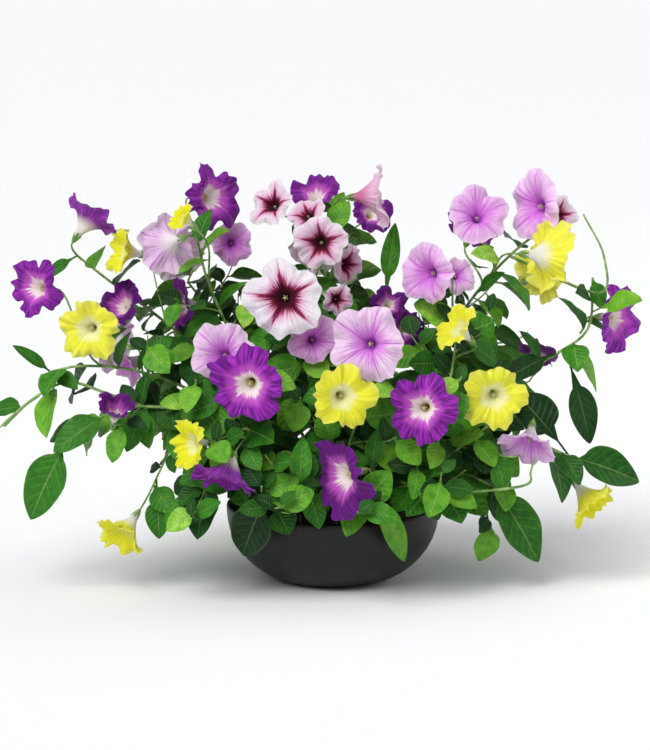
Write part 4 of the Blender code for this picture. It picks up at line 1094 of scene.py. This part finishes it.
# %% [markdown]
# ## The shape of a leaf
#
# The blade is a closed skin, thin as a leaf really is. It is folded up a little along
# the midrib and bends down to its tip, and its margin waves. Again it is a formula on a
# grid: shares of the length from stalk to tip, and a loop that runs across the upper
# face from edge to edge and back below.

# %% Leaf
LEAF_FOLD = 0.28
LEAF_DROOP = 0.22
BLADE_THICKNESS = 0.0005
STALK_WIDTH = 0.0011
BLADE_POWERS = (0.54, 0.80)
WIDEST = BLADE_POWERS[0] / sum(BLADE_POWERS)


def half_width(blade):
    """Half of the blade's width at a share of its length, as a share of the widest."""
    return (blade / WIDEST) ** BLADE_POWERS[0] * (np.clip(1 - blade, 0, 1) / (1 - WIDEST)) ** BLADE_POWERS[1]


def leaf(length, width, stalk, tone, droop, wave, pull, steps, columns):
    """A leaf as a shell with its marks. Its root is the origin and its tip lies along +Y.

    Half width: (s / 0.403)^0.54 ((1 - s) / 0.597)^0.80, where s is the share of the blade's
    length. Height: the fold times the distance from the midrib, less the droop times the
    square of the share, plus a wave that grows towards the edge. The pull moves the
    stalk's root onto its stem.
    """
    along_blade = (1 - np.cos(np.linspace(0.10, 0.97, steps) * np.pi)) / 2
    share = stalk + (1 - stalk) * along_blade
    share = np.concatenate(([0.004, stalk * 0.6], share)) if stalk > 0.02 else np.concatenate(([0.004], share))
    blade = np.clip((share - stalk) / (1 - stalk), 0, 1)
    half = width / 2 * half_width(blade)
    half = np.maximum(half, STALK_WIDTH * (1 - 0.75 * blade))[:, None]
    top = np.linspace(-1, 1, columns)
    below = top[-2:0:-1]
    side = np.concatenate((top, below))[None, :]
    under = np.concatenate((np.zeros(columns), np.ones(len(below))))[None, :]
    across = side * half
    ripple = wave * width * np.sin(share[:, None] * 15 + side * 1.7) * np.abs(side) ** 2 * ease(0.0, 0.3, blade)[:, None]
    lift = LEAF_FOLD * np.abs(across) - droop * length * share[:, None] ** 2 + ripple
    body = BLADE_THICKNESS * (1 - side**2) + STALK_WIDTH * 0.5 * np.exp(-((across / STALK_WIDTH) ** 2)) * (1 - blade[:, None])
    height = lift + body * (0.5 - under)
    points = np.stack((across, np.broadcast_to(share[:, None] * length, across.shape), height), axis=-1)
    near = np.clip(1 - share / 0.16, 0, 1) ** 2
    points = points + near[:, None, None] * np.array(pull)
    tip = (0.0, length, -droop * length)
    shell = loft(points, np.array(pull), tip, columns - 1)
    count = len(share)
    marks = np.stack(np.broadcast_arrays(side, blade[:, None], tone), axis=-1).reshape(-1, 3)
    marks = np.vstack((marks, (0.0, 0.0, tone), (0.0, 1.0, tone)))
    below_marks = np.append(np.tile(under[0], count), (0.0, 0.0))
    return shell, {"leaf_place": marks, "leaf_under": below_marks}


# %% [markdown]
# ## Where the leaves stand
#
# The large leaves are in the layout. The others follow a rule that a plant uses too: one
# leaf at each step along the stem, turned on by the golden angle from the one before, so
# that no leaf shades the next. The solid holds each where it was clear of everything
# else. It is found again by its tip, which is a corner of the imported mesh.

# %% Leaf places
ROOT_MARGIN = 0.0015
LEAF_LIGHT = (0.0, -0.75, 0.65)
STEM_LEAF = (0.036, 0.048)
BRANCH_LEAF = (0.054, 0.036)
MAIN_STRETCH = (0.30, 0.97)
FORK_STRETCH = (0.22, 0.97)
BRANCH_STRETCH = (0.25, 0.75)
LEAF_SIZES = (1.0, 0.8, 0.62)
LEAF_TURNS = (0.0, 0.7, -0.7, 1.4, -1.4, 2.1, -2.1, 3.1)
LEAF_ADVANCE = 0.5
LIGHT_RISE = 0.7
LIGHT_TURN = 0.6
STEEPEST_LEAF = 0.9
SIZE_SWING = 0.22
SMALL_SWING = 0.32


def leaf_frame(base, tip, up):
    """The place of a leaf: +Y runs from base to tip, and +Z is the blade's upper face."""
    forward = unit(tip - base)
    side = unit(np.cross(forward, up))
    matrix = np.eye(4)
    matrix[:3] = np.column_stack((side, forward, np.cross(side, forward), base))
    return matrix


def nearest_point(paths, target, margin):
    """The point of some paths that is nearest to a target, a little inside their ends."""
    starts = np.vstack([path[:-1] for path in paths])
    runs = np.vstack([np.diff(path, axis=0) for path in paths])
    square = (runs**2).sum(axis=1)
    inset = margin / np.sqrt(square)
    share = np.clip(((target - starts) * runs).sum(axis=1) / square, inset, 1 - inset)
    points = starts + runs * share[:, None]
    return points[np.linalg.norm(points - target, axis=1).argmin()]


def leaf_choices(base, heading, number, length, lead=0.0):
    """The ways that a leaf can stand at a place on a stem, the best first."""
    outward = unit(np.array((base[0], base[1], 0.0)))
    light = unit(outward + np.array((0.0, 0.0, LIGHT_RISE)))
    side = unit(np.cross(heading, (0.0, 0.0, 1.0)))
    for size in LEAF_SIZES:
        for turn in LEAF_TURNS:
            spin = Matrix.Rotation(number * GOLDEN_ANGLE + turn + lead, 3, Vector(heading))
            forward = np.array(spin @ Vector(side)) + heading * LEAF_ADVANCE
            forward = unit(forward - light * (forward @ light) * LIGHT_TURN)
            if abs(forward @ light) < STEEPEST_LEAF:
                swing = 1 + SIZE_SWING * math.sin(number * 2.4)
                yield leaf_frame(base, base + forward, light), length * size * swing


def light_at(base, number):
    """The way to the light from a place in the plant: outwards, up, and to the nearer face."""
    outward = unit(np.array((base[0], base[1], 1e-6)))
    face = np.clip((0.03 - base[1]) / 0.05, -1, 1)
    sway = 0.5 * math.sin(number * 5.1)
    return unit(outward * 0.45 + np.array((sway, -0.75 * face, 0.65 + 0.25 * math.sin(number * 3.3))))


def turned_to_light(shade, number):
    """A leaf rolled about its own length, half of the way towards the light."""
    forward, normal = shade[:3, 1], shade[:3, 2]
    light = light_at(shade[:3, 3], number)
    return leaf_frame(shade[:3, 3], shade[:3, 3] + forward, normal + light)


def leaf_tip(shade, length):
    """The tip of a leaf."""
    return shade[:3, :3] @ (0.0, length, -LEAF_DROOP * length) + shade[:3, 3]


def steps_along(path, stretch, spacing):
    """Evenly spaced places on a stretch of a path, each with its number and its heading."""
    first, last = stretch
    count = max(1, int(path_length(path) * (last - first) / spacing))
    for number in range(count):
        yield number, *along(path, first + (last - first) * (number + 0.5) / count)


TWIGS = (  # a stem, and the run of a bare twig that springs from it, as the layout gives runs
    ("left", ((-293, 186, -44), (-306, 172, -52), (-322, 158, -58), (-329, 151, -60))),
    ("upper_right", ((196, 300, -16), (262, 284, -24), (268, 320, -22), (247, 362, -20))),
    ("front_right", ((150, 96, -96), (186, 94, -90), (194, 108, -88), (197, 122, -86))),
)
twigs = {name: [] for name in STEMS}
for name, run in TWIGS:
    middle = [place(*point) for point in run]
    root = nearest_point(stem_paths[name], middle[0], ROOT_MARGIN)
    twigs[name].append(smooth_path([root, *middle[1:]], 18))
coarse_branches = {name: [arch(*route) for route, _ in held] for name, held in branches.items()}
fine_branches = {name: [arch(*route[:4], route[4] * FINER) for route, _ in held] for name, held in branches.items()}
grown = {name: [] for name in STEMS}  # each leaf's frame, length, width, stalk, tone and droop
for name, base, tip, width, tone in LEAVES:
    start = nearest_point(stem_paths[name] + coarse_branches[name], place(*base), ROOT_MARGIN)
    end = place(*tip)
    length = np.linalg.norm(end - start)
    stalk = min(max(np.linalg.norm(place(*base) - start) / length, 0.16), 0.4)
    grown[name].append((leaf_frame(start, end, LEAF_LIGHT), length, width * MM, stalk, tone, LEAF_DROOP))
found = 0
for name in STEMS:
    corners = KDTree(len(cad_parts[name + "_stem"].data.vertices))
    for index, vertex in enumerate(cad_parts[name + "_stem"].data.vertices):
        corners.insert(vertex.co, index)
    corners.balance()
    rows = [(path, FORK_STRETCH if fork else MAIN_STRETCH, STEM_LEAF) for fork, path in enumerate(stem_paths[name])]
    long_ones = [path for path in coarse_branches[name] if path_length(path) > LONG_BRANCH]
    rows += [(path, BRANCH_STRETCH, BRANCH_LEAF) for path in long_ones]
    for path, stretch, (spacing, size) in rows:
        for number, base, heading in steps_along(path, stretch, spacing):
            for shade, length in leaf_choices(base, heading, number, size):
                if corners.find(leaf_tip(shade, length))[2] < 0.0001:
                    shade = turned_to_light(shade, found)
                    grown[name].append((shade, length, length * 0.64, 0.08, None, LEAF_DROOP))
                    found += 1
                    break
print("leaves found again by their tips:", found)

# %% [markdown]
# A living basket has far more leaves than the solids carry. The gaps are filled as the
# plant fills them, with short side shoots between the branches and with smaller leaves
# on everything that is green. Each is tried against every solid and against all that
# has been placed, and is left out where it would cross something.

# %% Room for more


BOWL_CLEARANCE = (0.125, 0.090)  # the bowl stays in sight: how far to its sides, and above what height


class Room:
    """The search trees of what has been placed, with their boxes, and the solids' own."""

    def __init__(self):
        self.trees = []
        self.lows = np.zeros((0, 3))
        self.highs = np.zeros((0, 3))

    def add(self, points, faces):
        self.trees.append(BVHTree.FromPolygons(points.tolist(), faces))
        self.lows = np.vstack((self.lows, points.min(axis=0)))
        self.highs = np.vstack((self.highs, points.max(axis=0)))

    def free(self, points, faces):
        """Whether a surface stays in the box of the solids and crosses nothing."""
        low, high = points.min(axis=0), points.max(axis=0)
        over_bowl = np.abs(points[:, 0]) < BOWL_CLEARANCE[0]
        if (low < box_low).any() or (high > box_high).any() or (points[over_bowl, 2] < BOWL_CLEARANCE[1]).any():
            return False
        tree = BVHTree.FromPolygons(points.tolist(), faces)
        if tree.overlap(solids):
            return False
        near = np.flatnonzero((self.lows <= high).all(axis=1) & (self.highs >= low).all(axis=1))
        return not any(tree.overlap(self.trees[index]) for index in near)


def blade_sheet(shade, length, width, stalk, droop):
    """The outline of a blade beyond its stalk, as a coarse sheet of points and faces."""
    share = np.linspace(stalk, 1.0, 6)[:, None]
    blade = (share - stalk) / (1 - stalk)
    side = np.array((-1.0, 0.0, 1.0))
    across = width / 2 * half_width(blade) * side
    lift = LEAF_FOLD * np.abs(across) - droop * length * share**2
    points = np.stack((across, np.broadcast_to(share * length, across.shape), lift), axis=-1)
    return moved(points.reshape(-1, 3), shade), GRID_FACES


def ribbon(path):
    """A path as an upright ribbon, as wide as a shoot is thick."""
    rise = np.array((0.0, 0.0, PEDICEL_RADIUS))
    count = len(path)
    faces = [(step, step + 1, count + step + 1, count + step) for step in range(count - 1)]
    return np.vstack((path - rise, path + rise)), faces


GRID_FACES = [(row * 3 + column, row * 3 + column + 1, row * 3 + column + 4, row * 3 + column + 3)
              for row in range(5) for column in range(2)]
box_low, box_high = (np.array(corner) for corner in cad_box)
solids = search_tree(*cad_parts)
room = Room()
print("the solids have", sum(len(node.data.polygons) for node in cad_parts.values()), "faces to keep clear of")

# %% [markdown]
# A shoot leaves its stem at a slant and bends up towards the light. Its leaves turn
# their upper sides outwards and to the front or the back, whichever is nearer. The
# plant is full in its middle, while the long stems at its sides and top are rather bare.

# %% Shoots


def bare(base, number):
    """Whether a place on a stem stays bare: ever more are from the plant's middle outwards."""
    fullness = 1.3 - ((base[0] + 0.018) / 0.195) ** 4 - ((base[2] - 0.17) / 0.135) ** 4
    return number * 0.755 % 1 > fullness


SHOOT_STEP = 0.024
SHOOT_LENGTHS = (0.056, 0.042, 0.030)
SHOOT_CLEARANCE = 0.0022


def shoot_choices(base, heading, number):
    """The ways that a shoot can leave its stem, the best first."""
    side = unit(np.cross(heading, (0.0, 0.0, 1.0)))
    light = light_at(base, number)
    for length in SHOOT_LENGTHS:
        for turn in LEAF_TURNS:
            spin = Matrix.Rotation(number * GOLDEN_ANGLE + turn + 0.8, 3, Vector(heading))
            away = np.array(spin @ Vector(side))
            lean = unit(away + heading * 0.5 + light * 0.5)
            end = base + lean * length
            rise = unit(lean + np.array((0.0, 0.0, 0.7)))
            yield arch(base, unit(away + heading) * length, end, rise * length, 6)


shoots = {name: [] for name in STEMS}
for name in STEMS:
    for fork, path in enumerate(stem_paths[name]):
        for number, base, heading in steps_along(path, (0.12, 0.92), SHOOT_STEP):
            if bare(base, number + fork):
                continue
            for shoot in shoot_choices(base, heading, number + fork):
                beyond = shoot[2:]
                if off_surface_low(solids, beyond, SHOOT_CLEARANCE):
                    continue
                if room.free(*ribbon(beyond)):
                    room.add(*ribbon(beyond))
                    shoots[name].append(shoot)
                    break
print("shoots added:", sum(len(held) for held in shoots.values()))

# %% Small leaves
LEAF_ROWS = {  # the stretch, the spacing and the length of leaves on each kind of stem
    "shoot": ((0.22, 1.0), 0.0085, 0.034),
    "stem": ((0.10, 1.0), 0.0110, 0.038),
    "branch": ((0.08, 0.85), 0.0150, 0.028),
}
SMALL_STALK = 0.16


def small_leaf_choices(base, heading, number, length):
    """The ways that a small leaf can stand on a shoot or a stem, the best first."""
    side = unit(np.cross(heading, (0.0, 0.0, 1.0)))
    light = light_at(base, number)
    for size in LEAF_SIZES:
        for turn in LEAF_TURNS:
            spin = Matrix.Rotation(number * GOLDEN_ANGLE + turn, 3, Vector(heading))
            forward = np.array(spin @ Vector(side)) + heading * 0.55
            forward = unit(forward - light * (forward @ light) * 0.7)
            swing = 1 + SMALL_SWING * math.sin(number * 2.4)
            yield leaf_frame(base, base + forward, light), length * size * swing


small = 0
leafless = []
for kind, (stretch, spacing, size) in LEAF_ROWS.items():
    for name in STEMS:
        paths = {"shoot": shoots, "stem": stem_paths, "branch": coarse_branches}[kind][name]
        for order, path in enumerate(paths):
            before = small
            for number, base, heading in steps_along(path, stretch, spacing):
                count = number + 5 * order
                if bare(base, count):
                    continue
                taper = 1 - 0.3 * number * spacing / path_length(path) if kind == "shoot" else 1.0
                droop = LEAF_DROOP * (1 + 0.8 * math.sin(count * 2.9))
                for shade, length in small_leaf_choices(base, heading, count, size * taper):
                    width = length * (0.64 + 0.09 * math.sin(count * 1.7))
                    sheet = blade_sheet(shade, length, width, SMALL_STALK, droop)
                    if room.free(*sheet):
                        room.add(*sheet)
                        young = 0.20 * number * spacing / path_length(path) if kind == "shoot" else 0.0
                        tone = 0.10 + young + 0.75 * (count * 0.618 % 1) ** 1.3
                        grown[name].append((shade, length, width, SMALL_STALK, tone, droop))
                        small += 1
                        break
            if kind == "shoot" and small == before:
                leafless.append((name, order))
for name, order in reversed(leafless):
    del shoots[name][order]
print("small leaves added:", small, "and leafless shoots taken off again:", len(leafless))

# %% [markdown]
# ## Calyces
#
# Under each bloom the stalk widens to a small cup with five narrow green sepals, which
# hold the tube of the corolla. It is a turned shape whose rim rises and falls five times.

# %% Calyx
SEPAL_LENGTH = 0.0085
SEPAL_SPREAD = 0.0046
CUP_RADIUS = 0.0026
CUP_DEPTH = 0.0012
CALYX_SEAT = 0.00035
CALYX_SIDES = 40


def calyx():
    """The green cup under a bloom, round its own Z axis.

    The rim's share, abs(cos(2.5 turn))^1.6, is 1 at the tip of a sepal and 0 between two.
    The wall runs from the stalk out and up to the rim, and back down inside the cup.
    """
    turn = np.arange(CALYX_SIDES) * 2 * np.pi / CALYX_SIDES
    tip = np.abs(np.cos(2.5 * turn)) ** 1.6
    rim_height = CUP_DEPTH + tip * (SEPAL_LENGTH - CUP_DEPTH)
    rim_spread = CUP_RADIUS + tip * (SEPAL_SPREAD - CUP_RADIUS)
    outer = np.array((0.0, 0.12, 0.35, 0.7, 1.0))[:, None]
    inner = np.array((1.0, 0.7, 0.4))[:, None]
    share = np.vstack((outer, inner))
    wall = np.vstack((np.zeros_like(outer), np.full_like(inner, 0.0004)))
    height = -CALYX_ROOT + share * (rim_height + CALYX_ROOT)
    spread = PEDICEL_RADIUS + (rim_spread - PEDICEL_RADIUS) * np.sin(share * np.pi / 2) ** 0.8 - wall
    rings = np.stack((spread * np.cos(turn), spread * np.sin(turn), height), axis=-1)
    return loft(rings, (0, 0, -CALYX_ROOT), (0, 0, -CALYX_SEAT))


# %% [markdown]
# Each stem's tubes, calyces and leaves are one piece, as they are one solid. Every tube
# is rooted inside the one that carries it, and every leaf's stalk is drawn to the middle
# of its stem.

# %% Leafy stems
cup = calyx()
for name in STEMS:
    tray = Tray()
    for fork, path in enumerate(fine_paths[name]):
        tray.add(tube(path, FORK_RADIUS if fork else ROOT_RADIUS, STEM_TIP_RADIUS), slot=1)
    for (route, number), path in zip(branches[name], fine_branches[name]):
        tray.add(tube(path, BRANCH_RADIUS, PEDICEL_RADIUS), slot=1)
        seat = bloom_frames[list(BLOOMS)[number]]
        tray.add((moved(cup[0], seat), *cup[1:]), slot=1)
    for shoot in shoots[name]:
        tray.add(tube(shoot, 0.0010, 0.0007, 6), slot=1)
    for twig in twigs[name]:
        tray.add(tube(twig, 0.0016, 0.0009, 6), slot=1)
    for number, (shade, length, width, stalk, tone, droop) in enumerate(grown[name]):
        base = shade[:3, 3]
        root = nearest_point(fine_paths[name] + fine_branches[name] + shoots[name], base, 0.0001)
        pull = (root - base) @ shade[:3, :3]
        if tone is None:
            # a random tone of the leaf's own, plus a lighter share the higher it stands: painted light from above
            tone = 0.10 + 0.65 * (number * 0.618 % 1) + 0.2 * ease(0.12, 0.34, shade[2, 3])
        large = length > 0.052
        wave = 0.025 + 0.015 * math.sin(number * 1.9)
        shell, marks = leaf(length, width, stalk, tone, droop, wave, pull, 22 if large else 10, 9 if large else 3)
        tray.add((moved(shell[0], shade), *shell[1:]), marks)
    make_piece(name + "_foliage", tray, [leaf_blade, stem_skin], [name + "_stem"])

# %% [markdown]
# ## The bowl
#
# The bowl is moulded in one piece of dark grey plastic. Straight from the mould it is
# satin rather than glossy, with a very fine grain, so a light shows on it as a soft
# pale patch. Some soil dust has settled under the rim.

# %% Bowl finish
moulded, tree, output = new_finish("moulded_satin_plastic")
spot = add(tree, "TexCoord").outputs["Object"]
height = add(tree, "SeparateXYZ", {0: spot}).outputs[2]
grain = add(tree, "TexNoise", {"Vector": spot, "Scale": 1600.0, "Detail": 2.0}).outputs[0]
cloud = add(tree, "TexNoise", {"Vector": spot, "Scale": 45.0, "Detail": 5.0}).outputs[0]
near_rim = add(tree, "MapRange", {0: height, 1: 0.050, 2: 0.076, 4: 0.9}).outputs[0]
dusty = add(tree, "MapRange", {0: cloud, 1: 0.50, 2: 0.75}).outputs[0]
dust = add(tree, "Math", {0: near_rim, 1: dusty}, operation="MULTIPLY").outputs[0]
colour = mix_colours(tree, dust, tint("#0D0E0F"), tint("#302A24"))
dulled = add(tree, "MapRange", {0: cloud, 1: 0.3, 2: 0.7, 3: 0.40, 4: 0.52}).outputs[0]
bump = add(tree, "Bump", {"Strength": 0.25, "Distance": 0.0001, "Height": grain}).outputs[0]
shader = add(tree, "BsdfPrincipled", {"Base Color": colour, "Roughness": dulled, "Normal": bump})
shader.inputs["Specular IOR Level"].default_value = 0.35
tree.links.new(shader.outputs[0], output.inputs[0])

# %% [markdown]
# Its form is a profile turned round the vertical axis. The wall is the bulging curve of
# the solid, and the rim and the edge of the base are rounded, because no moulded edge is
# sharp.

# %% Bowl
BOWL_BASE_RADIUS = 0.046
BOWL_RIM_RADIUS = 0.107
BOWL_HEIGHT = 0.076
BOWL_WALL = 0.0032
BOWL_SIDES = 128


def bowl_radius(height):
    """The outer radius: from the base's out to the rim's by (1 - (1 - share)^2.3)^0.62."""
    share = np.clip(height / BOWL_HEIGHT, 0, 1)
    return BOWL_BASE_RADIUS + (BOWL_RIM_RADIUS - BOWL_BASE_RADIUS) * (1 - (1 - share) ** 2.3) ** 0.62


def turned(profile, sides):
    """A shell turned round the Z axis from a profile of radii and heights, pole to pole."""
    radius, height = np.array(profile).T
    turn = np.arange(sides) * 2 * np.pi / sides
    rings = np.stack((radius[1:-1, None] * np.cos(turn), radius[1:-1, None] * np.sin(turn),
                      np.repeat(height[1:-1, None], sides, axis=1)), axis=-1)
    return loft(rings, (0, 0, height[0]), (0, 0, height[-1]))


rising = BOWL_HEIGHT * np.array((0.02, 0.04, 0.08, 0.13, 0.20, 0.30, 0.42, 0.55, 0.68, 0.80, 0.89, 0.945))
outside = [(bowl_radius(height), height) for height in rising]
inside = [(bowl_radius(height) - BOWL_WALL, height) for height in rising[:2:-1]]
roundings = np.linspace(0.15, 0.85, 6) * np.pi
rim_middle = BOWL_RIM_RADIUS - BOWL_WALL / 2
rim = [(rim_middle + BOWL_WALL / 2 * math.cos(turn), BOWL_HEIGHT - 0.0022 + 0.0022 * math.sin(turn)) for turn in roundings]
foot = [(0.0, 0.0), (0.030, 0.0), (BOWL_BASE_RADIUS - 0.0012, 0.0), (BOWL_BASE_RADIUS - 0.0002, 0.0005)]
floor_inside = [(bowl_radius(0.006) - BOWL_WALL, 0.0050), (bowl_radius(0.0032) - BOWL_WALL - 0.002, BOWL_WALL), (0.0, BOWL_WALL)]
bowl_tray = Tray()
bowl_tray.add(turned(foot + outside + rim + inside + floor_inside, BOWL_SIDES))
make_piece("bowl_shell", bowl_tray, [moulded], ["bowl"])

# %% [markdown]
# ## Soil
#
# Potting soil is dark peat with lighter bits of bark. The solid has the right shape, with
# a hole for each stem, so it stays and only gets its finish. Crumbs of peat and bark are
# strewn over it by seeded chance, as eggs with a few faces each.

# %% Soil
peat, tree, output = new_finish("damp_peat_and_bark")
spot = add(tree, "TexCoord").outputs["Object"]
lumps = add(tree, "TexNoise", {"Vector": spot, "Scale": 260.0, "Detail": 6.0, "Roughness": 0.7}).outputs[0]
bark = add(tree, "TexVoronoi", {"Vector": spot, "Scale": 320.0}).outputs["Distance"]
shade = add(tree, "ValToRGB", {0: lumps})
shade.color_ramp.elements[0].position = 0.38
shade.color_ramp.elements[0].color = tint("#1B130D")
shade.color_ramp.elements[1].position = 0.72
shade.color_ramp.elements[1].color = tint("#5A4330")
relief = add(tree, "Math", {0: lumps, 1: bark}, operation="SUBTRACT").outputs[0]
bump = add(tree, "Bump", {"Strength": 0.9, "Distance": 0.0015, "Height": relief}).outputs[0]
shader = add(tree, "BsdfPrincipled", {"Base Color": shade.outputs[0], "Roughness": 0.9, "Normal": bump})
tree.links.new(shader.outputs[0], output.inputs[0])

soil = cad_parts["potting_soil"]
for slot in soil.material_slots:
    slot.material = peat

CRUMBS = 420
chance = np.random.default_rng(7)
crumb_tray = Tray()
for _ in range(CRUMBS):
    turn, out = chance.uniform(0, 2 * math.pi), math.sqrt(chance.uniform(0.0, 1.0)) * 0.094
    size = chance.uniform(0.0010, 0.0028)
    crown = SOIL_TOP + SOIL_CROWN * (1 - 0.3 * out / 0.055 if out < 0.055 else 0.7 * (0.0945 - out) / 0.0395)
    where = np.array((out * math.cos(turn), out * math.sin(turn), crown + size * 0.15))
    crumb_tray.add(bead(where, size, size * chance.uniform(0.5, 0.9), 6, 3))
make_piece("soil_crumbs", crumb_tray, [peat], [])

# %% [markdown]
# ## Size
#
# The dressed basket has to stay as large as the solids. Both boxes are written down, so
# that they can be compared.

# %% Sizes and the end
visual_box = [list(corner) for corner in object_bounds()]
grown_by = [[round((b - a) / MM, 1) for a, b in zip(*corners)] for corners in zip(cad_box, visual_box)]
print("the low and the high corner moved by", grown_by, "mm")
